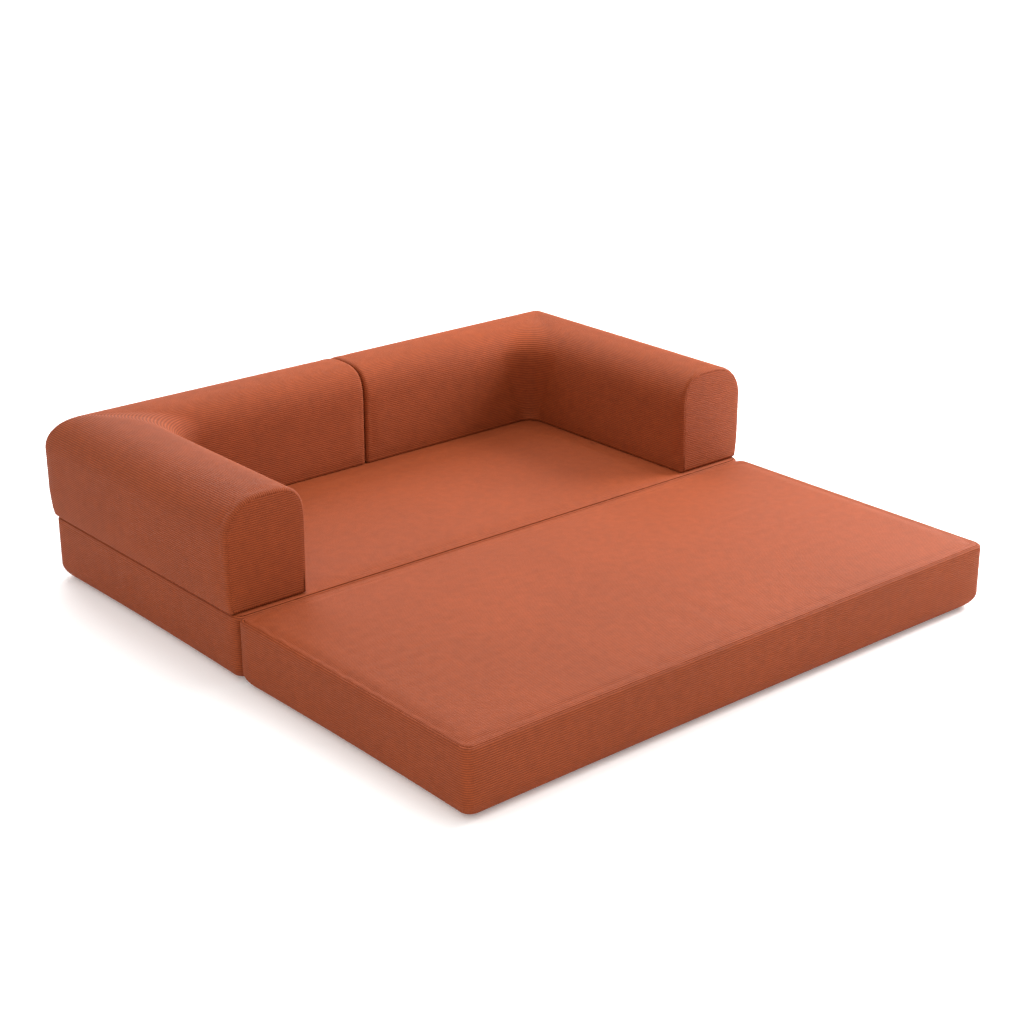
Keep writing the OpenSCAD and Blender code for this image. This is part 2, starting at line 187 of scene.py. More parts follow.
class SofaBed(bpy.types.PropertyGroup):
    """All sizes and colours of the sofa bed."""
    covers: bpy.props.PointerProperty(type=CoverSizes, name="Covers")
    slabs: bpy.props.PointerProperty(type=SlabSizes, name="Slabs")
    modules: bpy.props.PointerProperty(type=ModuleSizes, name="Corner modules")
    zips: bpy.props.PointerProperty(type=ZipSizes, name="Zips")
    cloths: bpy.props.PointerProperty(type=ClothSizes, name="Cloths")
    finishes: bpy.props.PointerProperty(type=Finishes, name="Finishes")


# Curves and stations

ARC_STEPS = 24


def smooth_step(x):
    """Rises smoothly from 0 to 1 while x does."""
    x = np.clip(x, 0, 1)
    return x * x * (3 - 2 * x)


def arc(centre, radii, start, end, steps=ARC_STEPS, fullness=2):
    """Points of an arc in a profile, angles in degrees. A fullness of 2 gives an ellipse,
    and more gives squarer shoulders."""
    angles = np.radians(np.linspace(start, end, steps + 1))
    across = np.cos(angles)
    up = np.sin(angles)
    x = centre[0] + radii[0] * np.sign(across) * np.abs(across) ** (2 / fullness)
    y = centre[1] + radii[1] * np.sign(up) * np.abs(up) ** (2 / fullness)
    return list(zip(x, y))


def travel(path):
    """Distance run along a path at each of its points."""
    steps = np.linalg.norm(np.diff(path, axis=0), axis=1)
    return np.concatenate([[0], np.cumsum(steps)])


def at_distance(path, distances):
    """Points of a path at the given distances along it."""
    run = travel(path)
    return np.stack([np.interp(distances, run, path[:, k]) for k in range(path.shape[1])], axis=1)


def spaced(start, end, step):
    """Even stations from start to end, no further apart than step."""
    return np.linspace(start, end, max(1, math.ceil(abs(end - start) / step)) + 1)


def mirrored(stations):
    """Stations below zero, repeated above it."""
    return np.concatenate([stations, -stations[::-1][(1 if stations[-1] == 0 else 0):]])


def rib_rows(width, ribs_in_step=1):
    """Fine rows across a panel, and its number of ribs, which is a whole number of steps."""
    pitch = settings().covers.rib_pitch * ribs_in_step
    ribs = max(1, round(width / pitch)) * ribs_in_step
    return np.linspace(0, width, ribs * QUADS_PER_RIB + 1), ribs


# Cut panels of cloth

QUADS_PER_RIB = 4
SOFT_RIBS = 4  # ribs from one row of the simulated cloth to the next
GROOVE_SHARPNESS = 3  # above 1, the grooves are narrower than the ribs
WELD_DISTANCE = 0.00015
TINY = 1e-12
CLOTH_MAP = "UVMap"
RIBBED = "ribbed"


class Panel:
    """A cut panel of cloth as a grid of points: columns run along its ribs, rows across
    them. soft_rows are the rows that the simulation uses, ribs is how many ribs lie across
    it, and run is how far along it each column lies, in ribs. sink is how deep its seams
    press each point in, and rib_fade how strong the ribs are there."""

    def __init__(self, points, soft_rows, ribs, run):
        self.points = points
        self.soft_rows = np.array(soft_rows)
        self.ribs = ribs
        self.run = run
        self.sink = np.zeros(points.shape[:2])
        self.rib_fade = np.ones(points.shape[:2])

    def soft_points(self):
        """The points that the simulation uses."""
        return self.points[:, self.soft_rows]

    def rib_number(self):
        """How many ribs lie between each row and the panel's first one."""
        return np.linspace(0, self.ribs, self.points.shape[1])

    def move(self, shift):
        """Moves the panel by shifts that are known at its soft rows, smoothly between them."""
        rows = np.arange(self.points.shape[1])
        self.points = self.points + smooth_rows(shift, self.soft_rows, rows)

    def normals(self, centre):
        """Outward directions at the points; centre is a point inside the cushion."""
        across = np.gradient(self.points, axis=1)
        along = np.gradient(self.points, axis=0)
        normals = np.cross(along, across)
        if (normals * (self.points - centre)).sum() < 0:
            normals = -normals
        return unit(normals)

    def finish(self, centre):
        """Presses the grooves between the ribs and sinks the seams."""
        groove = np.abs(np.cos(np.pi * self.rib_number())) ** GROOVE_SHARPNESS
        depth = settings().covers.rib_depth * groove[None, :] * self.rib_fade + self.sink
        self.points = self.points - self.normals(centre) * depth[:, :, None]

    def add_to(self, shell, points, uv_rows):
        """Adds the panel, or its soft version, to a shell as a grid of quads, and returns
        its vertices by column and row. uv_rows are the rows' places in its own map."""
        columns, rows = points.shape[:2]
        first_face = len(shell.faces)
        ribbed = ribbed_layer(shell)
        made = bmesh.ops.create_grid(shell, x_segments=columns - 1, y_segments=rows - 1, size=1)
        places = points.transpose(1, 0, 2).reshape(-1, 3)
        fades = np.ones(len(places))
        if points.shape == self.points.shape:
            fades = np.broadcast_to(self.rib_fade, (columns, rows)).T.ravel()
        marks = {}
        for number, (vert, place) in enumerate(zip(made["verts"], places.tolist())):
            vert.co = place
            vert[ribbed] = float(fades[number])
            marks[vert] = (self.run[number % columns], uv_rows[number // columns])
        cloth_map = cloth_map_layer(shell)
        shell.faces.ensure_lookup_table()
        for face in shell.faces[first_face:]:
            for loop in face.loops:
                loop[cloth_map].uv = marks[loop.vert]
        return np.array(made["verts"], dtype=object).reshape(rows, columns).T


def unit(vectors):
    """The vectors made one metre long."""
    return vectors / np.maximum(np.linalg.norm(vectors, axis=-1, keepdims=True), TINY)


def cloth_map_layer(shell):
    """The layer of a shell that holds the cloth's own map, which its material reads."""
    return shell.loops.layers.uv.get(CLOTH_MAP) or shell.loops.layers.uv.new(CLOTH_MAP)


def ribbed_layer(shell):
    """The layer of a shell that holds how strong the ribs are at each vertex."""
    return shell.verts.layers.float.get(RIBBED) or shell.verts.layers.float.new(RIBBED)


def smooth_rows(values, known, wanted):
    """Values known at some rows, carried smoothly to the wanted rows by cubic curves."""
    slopes = np.gradient(values, known, axis=1)
    low = np.clip(np.searchsorted(known, wanted, side="right") - 1, 0, len(known) - 2)
    step = (known[low + 1] - known[low]).astype(float)
    t = ((wanted - known[low]) / step)[None, :, None]
    span = step[None, :, None]
    return (
        (2 * t ** 3 - 3 * t ** 2 + 1) * values[:, low]
        + (t ** 3 - 2 * t ** 2 + t) * span * slopes[:, low]
        + (3 * t ** 2 - 2 * t ** 3) * values[:, low + 1]
        + (t ** 3 - t ** 2) * span * slopes[:, low + 1]
    )


def border(verts):
    """The vertices on a panel's border."""
    return [*verts[0], *verts[-1], *verts[1:-1, 0], *verts[1:-1, -1]]


def open_edges(shell):
    """The edges on a shell's open borders."""
    return [edge for edge in shell.edges if len(edge.link_faces) == 1]


def edges_between(verts):
    """Open edges that join the given vertices, of which some may be welded away."""
    chosen = {vert for vert in verts if vert.is_valid}
    return list({
        edge for vert in chosen for edge in vert.link_edges
        if len(edge.link_faces) == 1 and edge.other_vert(vert) in chosen
    })


def join_loops(shell, *borders):
    """Closes the seam between two open borders."""
    edges = [edge for verts in borders for edge in edges_between(verts)]
    bmesh.ops.bridge_loops(shell, edges=edges)


def weld(shell, verts):
    """Welds vertices that lie in the same place."""
    bmesh.ops.remove_doubles(shell, verts=verts, dist=WELD_DISTANCE)


def only(kind, geometry):
    """The vertices, edges or faces among what an operator made."""
    return [item for item in geometry if isinstance(item, kind)]


def shell_object(shell, name):
    """A closed shell as an object with smooth shading."""
    bmesh.ops.recalc_face_normals(shell, faces=shell.faces)
    mesh = bpy.data.meshes.new(name)
    shell.to_mesh(mesh)
    shell.free()
    made = bpy.data.objects.new(name, mesh)
    bpy.context.scene.collection.objects.link(made)
    mesh.shade_smooth()
    return made


# Simulation

FRAMES = 20
SOFT_HOLD = 0.25
FIRM_HOLD = 1.0
SEAM_BELOW = 0.0001  # heights round the slab's top in which its seam is held
SEAM_ABOVE = 0.0005
SEAM_EDGES = 1.7  # how far in from the side the seam is held, in edge radii
FACING_EDGES = 3  # the same for the side that faces the other slab
UNDER_SHARE = 0.3  # how far up from the floor it is held, as a share of the bottom edge
CARRIER_DEPTH = 0.004  # depth in which cloth that carries a module or a zip is held
END_DEPTH = 0.012  # the same for a module's end faces
FOOT_HEIGHT = 0.03  # height up to which a module's foot is held
ZIP_MARGIN = 0.006


def coordinates(mesh):
    """A mesh's vertex places as an array."""
    places = np.empty(len(mesh.vertices) * 3)
    mesh.vertices.foreach_get("co", places)
    return places.reshape(-1, 3)


def puff(soft, hold, limit):
    """Lets the air pressure of a filled cover settle its cloth. hold gives how firmly each
    point keeps its place. Returns the rest places and the movements, none past limit."""
    rest = coordinates(soft.data)
    group = soft.vertex_groups.new(name="hold")
    for number, weight in enumerate(hold(rest)):
        group.add([number], float(weight), "REPLACE")
    modifier = soft.modifiers.new("Cloth", "CLOTH")
    cloth = modifier.settings
    cloth.quality = 5
    cloth.mass = 0.35
    cloth.tension_stiffness = 12
    cloth.compression_stiffness = 12
    cloth.shear_stiffness = 4
    cloth.bending_stiffness = 0.6
    cloth.shrink_min = -0.002
    cloth.use_pressure = True
    cloth.uniform_pressure_force = 3
    cloth.vertex_group_mass = "hold"
    cloth.pin_stiffness = 4
    cloth.effector_weights.gravity = 0
    modifier.point_cache.frame_end = FRAMES
    for number in range(1, FRAMES + 1):
        bpy.context.scene.frame_set(number)
    graph = bpy.context.evaluated_depsgraph_get()
    settled = coordinates(soft.evaluated_get(graph).data)
    bpy.context.scene.frame_set(1)
    shift = settled - rest
    size = np.linalg.norm(shift, axis=1, keepdims=True)
    print(f"{soft.name}: moved {size.mean():.4f} m on average, {size.max():.4f} m at most")
    return rest, shift * np.tanh(size / limit) * limit / np.maximum(size, TINY)


def settle(name, panels, hold):
    """Simulates the soft version of a cover and moves its panels as the cloth moved."""
    shell = bmesh.new()
    for panel in panels:
        panel.add_to(shell, panel.soft_points(), panel.rib_number()[panel.soft_rows])
    weld(shell, shell.verts)
    bmesh.ops.holes_fill(shell, edges=open_edges(shell), sides=0)
    soft = shell_object(shell, name + "_soft")
    rest, shift = puff(soft, hold, settings().covers.puff_limit)
    tree = KDTree(len(rest))
    for number, place in enumerate(rest):
        tree.insert(place, number)
    tree.balance()
    for panel in panels:
        points = panel.soft_points()
        found = [tree.find(place)[1] for place in points.reshape(-1, 3).tolist()]
        panel.move(shift[found].reshape(points.shape))
    bpy.data.objects.remove(soft, do_unlink=True)


# Slabs

CORNER_SHARES = np.array([0, 0.045, 0.105, 0.27, 0.5, 0.75])
CORNER_ROWS = np.array([0, 2, 6, 11, 16, 21])  # fine rows that the simulation uses there
EDGE_ROWS = [0, 2, 5, 9]  # the same on a side just below its seam
FIRST_SIDE_ROW = 16
EDGE_STEPS = 12


def round_corners(a, b, half_x, half_y, radius):
    """Moves points of a rectangle into the same rectangle with rounded corners."""
    p = np.clip((np.abs(a) - (half_x - radius)) / radius, 0, 1)
    q = np.clip((np.abs(b) - (half_y - radius)) / radius, 0, 1)
    x = np.where(p > 0, np.sign(a) * (half_x - radius + radius * p * np.sqrt(1 - q * q / 2)), a)
    y = np.where(q > 0, np.sign(b) * (half_y - radius + radius * q * np.sqrt(1 - p * p / 2)), b)
    return x, y


def fit_station(s, half, zone, new_half, new_radius):
    """A station along a side, carried to a rectangle of another size and corner radius."""
    inner = half - zone
    straight = s * (new_half - new_radius) / inner
    corner = np.sign(s) * (new_half - new_radius + (np.abs(s) - inner) / zone * new_radius)
    return np.where(np.abs(s) <= inner, straight, corner)


def corner_stations(half, zone, step):
    """Stations along half a side, from its corner at -half to its middle: close together
    at the seam and round the corner."""
    return np.concatenate([zone * CORNER_SHARES - half, spaced(-half + zone, 0, step)])


def slab_profile():
    """A slab's side from its top seam down and in underneath, as insets and heights."""
    sizes = settings().slabs
    tuck = sizes.tuck_radius
    edge = sizes.edge_radius
    points = arc((edge, SLAB_TOP - edge), (edge, edge), 90, 180, EDGE_STEPS)
    points += arc((tuck, tuck), (tuck, tuck), 180, 270)
    points.append((tuck + settings().covers.turn_in, 0))
    return np.array(points)


def slab_panels(low, high, draws, crown_at):
    """The top and side panels of a slab between two corners. draws are how far its back,
    left, front and right sides pull in, and crown_at gives the rise of its top."""
    sizes = settings().slabs
    covers = settings().covers
    centre = (low + high) / 2
    half_x = (high.x - low.x) / 2
    half_y = (high.y - low.y) / 2
    edge = sizes.edge_radius
    zone = sizes.corner_radius + sizes.lower_corner * edge
    top_x = half_x - edge
    top_y = half_y - edge

    columns = mirrored(corner_stations(top_x, zone, covers.column_step))
    rows, ribs = rib_rows(2 * top_y)
    rows = rows - top_y
    last = len(rows) - 1
    inner_rows = spaced(CORNER_ROWS[-1], last - CORNER_ROWS[-1], SOFT_RIBS * QUADS_PER_RIB)[1:-1]
    inner_rows = inner_rows.round().astype(int)
    soft_rows = np.concatenate([CORNER_ROWS, inner_rows, last - CORNER_ROWS[::-1]])
    a, b = np.meshgrid(columns, rows, indexing="ij")
    x, y = round_corners(a, b, top_x, top_y, zone)
    z = SLAB_TOP + crown_at(x + centre.x, y + centre.y)
    top_points = np.stack([x + centre.x, y + centre.y, z], axis=2)
    top = Panel(top_points, soft_rows, ribs, (columns + top_x) / covers.rib_pitch)
    reach = np.minimum(top_x - np.abs(a), top_y - np.abs(b))
    top.sink = seam_sink(reach)
    top.rib_fade = 1 - covers.worn_share * smooth_step(reach / covers.worn_reach)

    # The side panel's columns run once round the slab. Each station is a place on the
    # top's border with its side: 0 is the back, 1 the left, 2 the front and 3 the right.
    soft_stations = rows[soft_rows][:-1]
    across = np.full(len(soft_stations), top_x)
    deep = np.full(len(columns) - 1, top_y)
    stations = [
        (across, soft_stations, 3),
        (-columns[:-1], deep, 0),
        (-across, -soft_stations, 1),
        (columns[:-1], -deep, 2),
    ]
    ring_x = np.concatenate([s[0] for s in stations])
    ring_y = np.concatenate([s[1] for s in stations])
    side = np.concatenate([np.full(len(s[0]), s[2]) for s in stations])
    start = len(across) // 2
    ring_x, ring_y, side = (np.append(v[start:], v[:start + 1]) for v in (ring_x, ring_y, side))

    profile = slab_profile()
    side_rows, side_ribs = rib_rows(travel(profile)[-1])
    levels = at_distance(profile, side_rows)
    lower_rows = spaced(FIRST_SIDE_ROW, len(side_rows) - 1, SOFT_RIBS * QUADS_PER_RIB)
    side_soft = [*EDGE_ROWS, *lower_rows.round().astype(int)]
    points = np.empty((len(ring_x), len(side_rows), 3))
    normal = np.array([(0, 1), (-1, 0), (0, -1), (1, 0)])[side]
    along = np.where(side % 2 == 0, ring_x / (top_x - zone), ring_y / (top_y - zone))
    belly = np.clip(1 - along ** 2, 0, 1) * np.array(draws)[side]
    for number, (inset, height) in enumerate(levels):
        radius = sizes.corner_radius + sizes.lower_corner * inset
        level_x = half_x - inset
        level_y = half_y - inset
        ax = fit_station(ring_x, top_x, zone, level_x, radius)
        by = fit_station(ring_y, top_y, zone, level_y, radius)
        px, py = round_corners(ax, by, level_x, level_y, radius)
        pull = belly * (1 - smooth_step(2 * height / SLAB_TOP - 1))
        points[:, number, 0] = centre.x + px - normal[:, 0] * pull
        points[:, number, 1] = centre.y + py - normal[:, 1] * pull
        points[:, number, 2] = height
    around = travel(points[:, len(side_rows) // 2])
    band = Panel(points, side_soft, side_ribs, around / covers.rib_pitch)
    band.sink = band.sink + seam_sink(side_rows)
    return top, band


def seam_sink(reach, depth=None):
    """How deep a panel sinks at a distance from its seam. depth is the seam's own depth,
    or that of the slabs' seams where it isn't given."""
    covers = settings().covers
    deepest = covers.seam_depth if depth is None else depth
    return deepest * np.clip(1 - reach / covers.seam_width, 0, 1) ** 2


def fall_away(points, front):
    """Lets a slab's top fall away towards its front edge."""
    slabs = settings().slabs
    near = np.clip(1 - (points[..., 1] - front) / slabs.fall_width, 0, 1) ** 2
    high_up = smooth_step(2 * points[..., 2] / SLAB_TOP - 1)
    points[..., 2] -= slabs.fall * near * high_up


def build_slab(prefix, draws, crown_at, hold, falls=False):
    """Makes one slab's cushion from its panels. falls says whether its front edge falls
    away towards the hinge."""
    low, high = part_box(prefix + "_cover")
    top, band = slab_panels(low, high, draws, crown_at)
    if falls:
        fall_away(top.points, low.y)
        fall_away(band.points, low.y)
    centre = np.array([(low.x + high.x) / 2, (low.y + high.y) / 2, SLAB_TOP / 2])
    settle(prefix + "_cushion", [top, band], hold)
    top.finish(centre)
    band.finish(centre)

    shell = bmesh.new()
    top_verts = top.add_to(shell, top.points, top.rib_number())
    band_verts = band.add_to(shell, band.points, band.rib_number())
    weld(shell, [*band_verts[0], *band_verts[-1]])
    join_loops(shell, border(top_verts), band_verts[:, 0])
    raised = bmesh.ops.extrude_edge_only(shell, edges=edges_between(band_verts[:, -1]))["geom"]
    rim = only(bmesh.types.BMVert, raised)
    bmesh.ops.translate(shell, verts=rim, vec=(0, 0, settings().covers.recess))
    bmesh.ops.contextual_create(shell, geom=only(bmesh.types.BMEdge, raised))
    cushion = shell_object(shell, prefix + "_cushion")
    dress(cushion, "ribbed_cloth")
    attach(cushion, prefix + "_slab")
    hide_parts(prefix + "_cover", prefix + "_support_foam", prefix + "_comfort_foam")


def front_crown(x, y):
    """Rise of the front slab's top."""
    low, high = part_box("front_cover")
    return dome(x, y, low, high, settings().slabs.edge_radius)


def base_crown(x, y):
    """Rise of the base slab's top, which fills the seat between the arms and the back."""
    low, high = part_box("base_cover")
    module = settings().modules
    inside = module.thickness + module.inner_corner * (1 - math.sqrt(0.5))
    seat_low = Vector((low.x + inside, low.y + settings().slabs.edge_radius))
    seat_high = Vector((high.x - inside, high.y - inside))
    return dome(x, y, seat_low, seat_high, 0)


def dome(x, y, low, high, rim):
    """A smooth rise between two corners that is flat along its rim."""
    crown = settings().slabs.crown
    p = np.clip(np.abs((2 * x - low.x - high.x) / (high.x - low.x - 2 * rim)), 0, 1)
    q = np.clip(np.abs((2 * y - low.y - high.y) / (high.y - low.y - 2 * rim)), 0, 1)
    return crown * (1 - p ** 3) * (1 - q ** 3)


def slab_hold(low, high, facing, kept_flat):
    """How firmly a slab's cloth is held: its underside, its seam, the side that faces its
    neighbour, and what carries a corner module or a zip."""
    slabs = settings().slabs

    def hold(places):
        x, y, z = places.T
        held = np.full(len(places), SOFT_HOLD)
        at_top = (z > SLAB_TOP - SEAM_BELOW) & (z < SLAB_TOP + SEAM_ABOVE)
        from_side = np.minimum(np.minimum(x - low.x, high.x - x), np.minimum(y - low.y, high.y - y))
        held[at_top & (from_side < SEAM_EDGES * slabs.edge_radius)] = FIRM_HOLD
        held[z < UNDER_SHARE * slabs.tuck_radius] = FIRM_HOLD
        held[np.abs(y - facing) < FACING_EDGES * slabs.edge_radius] = FIRM_HOLD
        held[kept_flat(x, y, z)] = FIRM_HOLD
        return held

    return hold


# Corner modules

OUTER_FULLNESS = 2.4  # how square the rounded top's outer and inner shoulders are
INNER_FULLNESS = 3.3
TOP_STEPS = 160
SIDE_STEPS = 60
SWELL_POWER = 0.6  # below 1, a side swells early on its way up
CORNER_POWER = 3  # how late the corner grows from its outer to its inner radius
BULGE_POWER = 0.7
NEARLY_FLAT = 1e-6
EDGE_ANGLES = [90, 81, 68, 48, 24]
CORNER_ANGLES = [45 * s for s in (0.2, 0.4, 0.58, 0.74, 0.88, 1)]
END_COLUMNS = np.array([0, 0.007, 0.016, 0.024])
CAP_COLUMNS = np.array([0, 0.0016, 0.0036, 0.009, 0.018])


def module_profile(rear):
    """A module's closed cross-section from the middle of its bottom, out under its outer
    side, over its top and back, as distances from the outer side and heights. The outer
    side swells from the bottom up at an arm, and from above the zip at the rear."""
    sizes = settings().modules
    thick = sizes.thickness
    half = thick / 2
    foot = sizes.foot_radius
    outer_z = MODULE_HEIGHT - sizes.outer_arch
    inner_z = MODULE_HEIGHT - sizes.inner_arch
    points = [(half, 0)]
    points += arc((foot, foot), (foot, foot), 270, 180)
    points += [(0, z) for z in np.linspace(foot, outer_z, SIDE_STEPS)[1:-1]]
    outer_half = arc((half, outer_z), (half, sizes.outer_arch), 180, 90, TOP_STEPS, OUTER_FULLNESS)
    inner_half = arc((half, inner_z), (half, sizes.inner_arch), 90, 0, TOP_STEPS, INNER_FULLNESS)
    points += [*outer_half[:-1], *inner_half]
    points += arc((thick - foot, foot), (foot, foot), 0, -90)
    points.append((half, 0))
    profile = np.array(points)
    w, z = profile.T
    start = sizes.flat_side if rear else 0
    grown = np.sin(np.pi / 2 * np.clip((z - start) / sizes.swell_height, 0, 1)) ** SWELL_POWER
    left = smooth_step((MODULE_HEIGHT - z) / sizes.outer_arch)
    outward = 1 - w / half
    most = np.where(outward > 0, sizes.swell, sizes.inner_swell)
    inner_grown = smooth_step(z / sizes.swell_height)
    profile[:, 0] = w - most * outward * np.where(outward > 0, grown, inner_grown) * left
    return profile


def section(rear, shares):
    """The points of a module's cross-section at shares of its length, and its outward
    directions there."""
    outline = module_profile(rear)
    profile = at_distance(outline, shares * travel(outline)[-1])
    normals = outward_normals(profile)
    normals[0] = normals[-1] = (0, -1)
    return profile, normals


def outward_normals(profile):
    """Outward directions of a closed cross-section at its points."""
    steps = np.gradient(profile, axis=0)
    normals = unit(np.stack([-steps[:, 1], steps[:, 0]], axis=1))
    if (normals * (profile - profile.mean(axis=0))).sum() < 0:
        normals = -normals
    return normals


def run_columns(span):
    """Stations along one leg of a module, from its end face to the corner: the angle round
    the end face's edge, the share of the straight, and the angle of the corner."""
    near_end = END_COLUMNS / span
    shares = [*near_end, *spaced(near_end[-1], 1, settings().covers.column_step / span)[1:]]
    columns = [(angle, 0, 0) for angle in EDGE_ANGLES]
    columns += [(0, part, 0) for part in shares]
    columns += [(0, 1, angle) for angle in CORNER_ANGLES]
    return columns


def leg_points(columns, profile, normals, near, far):
    """Points of one leg. near and far are the coordinates along the leg of its end face
    and of the corner's outer face. The results are the place along the leg, the distance
    from the outer side and the height, for each column and profile point."""
    sizes = settings().modules
    radius = sizes.end_radius
    direction = 1 if far > near else -1
    run = np.empty((len(columns), len(profile)))
    off = np.empty_like(run)
    tall = np.empty_like(run)
    for number, (edge_angle, straight, turn) in enumerate(columns):
        theta = math.radians(edge_angle)
        phi = math.radians(turn)
        inset = radius * (1 - math.cos(theta))
        w = profile[:, 0] - normals[:, 0] * inset
        z = profile[:, 1] - normals[:, 1] * inset
        inward = np.clip(w / sizes.thickness, 0, 1) ** CORNER_POWER
        upward = smooth_step(z / (MODULE_HEIGHT - sizes.inner_arch / 2))
        inner = sizes.inner_corner + (sizes.valley - sizes.inner_corner) * upward
        bend = sizes.outer_corner + (inner - sizes.outer_corner) * inward
        straight_length = abs(far - near) - w - bend - radius
        s = radius * (1 - math.sin(theta)) + straight_length * straight
        run[number] = near + direction * (s + bend * math.sin(phi))
        off[number] = w + bend * (1 - math.cos(phi))
        tall[number] = z
    return run, off, tall


def module_panels(start, mirror):
    """The wrapped panel and the two end panels of a corner module. start is where its back
    starts, measured from the middle towards its own side."""
    sizes = settings().modules
    covers = settings().covers
    front_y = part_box("right_cover")[0].y
    half_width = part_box("base_cover")[1].x
    back_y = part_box("base_cover")[1].y

    fine, ribs = rib_rows(travel(module_profile(False))[-1], SOFT_RIBS)
    shares = fine / fine[-1]
    profile, normals = section(False, shares)
    rear_profile, rear_normals = section(True, shares)
    soft_rows = range(0, len(fine), SOFT_RIBS * QUADS_PER_RIB)

    back_columns = run_columns(half_width - start - sizes.thickness)
    arm_columns = run_columns(back_y - front_y - sizes.thickness)
    like_rear = leg_points(back_columns, rear_profile, rear_normals, start, half_width)
    like_side = leg_points(back_columns, profile, normals, start, half_width)
    outer_row = np.argmin(np.abs(profile[:, 0]) + np.abs(profile[:, 1] - sizes.flat_side))
    zip_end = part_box("right_zip")[1].x + covers.turn_in
    form_end = half_width - sizes.side_form
    side_share = smooth_step((like_side[0][:, outer_row] - zip_end) / (form_end - zip_end))[:, None]
    back_run, back_off, back_z = (
        rear + (side - rear) * side_share for rear, side in zip(like_rear, like_side)
    )
    arm_run, arm_off, arm_z = leg_points(arm_columns, profile, normals, front_y, back_y)
    back = np.stack([back_run, back_y - back_off, back_z + MODULE_BOTTOM], axis=2)
    arm = np.stack([half_width - arm_off, arm_run, arm_z + MODULE_BOTTOM], axis=2)
    points = np.concatenate([back, arm[-2::-1]])

    run = travel(points[:, len(profile) // 2])
    wrap = Panel(points, soft_rows, ribs, run / covers.rib_pitch)
    from_end = np.minimum(run, run[-1] - run)[:, None]
    from_mitre = np.abs(run - run[len(back_columns) - 1])[:, None]
    wrap.sink = wrap.sink + seam_sink(from_end, covers.end_seam)
    wrap.sink = wrap.sink + seam_sink(from_mitre, covers.mitre_depth)
    rim = half_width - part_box("right_sole")[1].x
    w, z = profile.T
    under = (z < NEARLY_FLAT) & (w > rim) & (w < sizes.thickness - rim)
    inside = smooth_step((from_end - rim / 2) / (rim / 2))
    wrap.points[:, :, 2] += covers.recess * inside * under

    rear_seam = rear_profile - rear_normals * sizes.end_radius
    seam = profile - normals * sizes.end_radius
    back_cap = cap_panel(rear_seam, lambda w, z, out: (start - out, back_y - w, z))
    arm_cap = cap_panel(seam, lambda w, z, out: (half_width - w, front_y - out, z))
    panels = [wrap, back_cap, arm_cap]
    if mirror:
        for panel in panels:
            panel.points[:, :, 0] *= -1
    return panels


def cap_panel(seam, place):
    """The panel of an end face inside its seam. place puts a point, given by its distance
    from the outer side, its height and its bulge, in the sofa bed."""
    covers = settings().covers
    sizes = settings().modules
    z = seam[:, 1]
    low = z.min()
    high = z.max() - covers.rib_depth
    rows, ribs = rib_rows(high - low)
    heights = low + rows
    peak = np.argmax(z)
    outer_w = edge_at(seam[:peak + 1], heights)
    inner_w = edge_at(seam[peak:], heights)
    width = sizes.thickness - 2 * sizes.end_radius
    near_seam = CAP_COLUMNS / width - 0.5
    inner = spaced(near_seam[-1], 0, covers.column_step / width)
    shares = mirrored(np.concatenate([near_seam[:-1], inner])) + 0.5
    across = outer_w + (inner_w - outer_w) * shares[:, None]
    tall = np.broadcast_to(heights, across.shape)
    risen = np.clip((heights - low) / (high - low), 0, 1)
    bulge = np.sin(np.pi * shares)[:, None] ** BULGE_POWER * np.sin(np.pi * risen) ** BULGE_POWER
    x, y, height = place(across, tall, sizes.end_bulge * bulge)
    points = np.stack(np.broadcast_arrays(x, y, height + MODULE_BOTTOM), axis=2)
    panel = Panel(points, range(len(heights)), ribs, shares * width / covers.rib_pitch)
    reach = distance_to(np.stack([across, tall], axis=2), seam)
    panel.sink = seam_sink(reach, covers.end_seam)
    return panel


def distance_to(points, path):
    """Distance from each point of a plane to a path in it."""
    nearest = np.full(points.shape[:-1], np.inf)
    for first, second in zip(path[:-1], path[1:]):
        side = second - first
        if side @ side > TINY:
            t = np.clip((points - first) @ side / (side @ side), 0, 1)[..., None]
            nearest = np.minimum(nearest, np.linalg.norm(points - first - t * side, axis=-1))
    return nearest


def edge_at(path, heights):
    """Where one half of a cross-section lies at the given heights."""
    w, z = path.T
    order = np.argsort(z, kind="stable")
    return np.interp(heights, z[order], w[order])


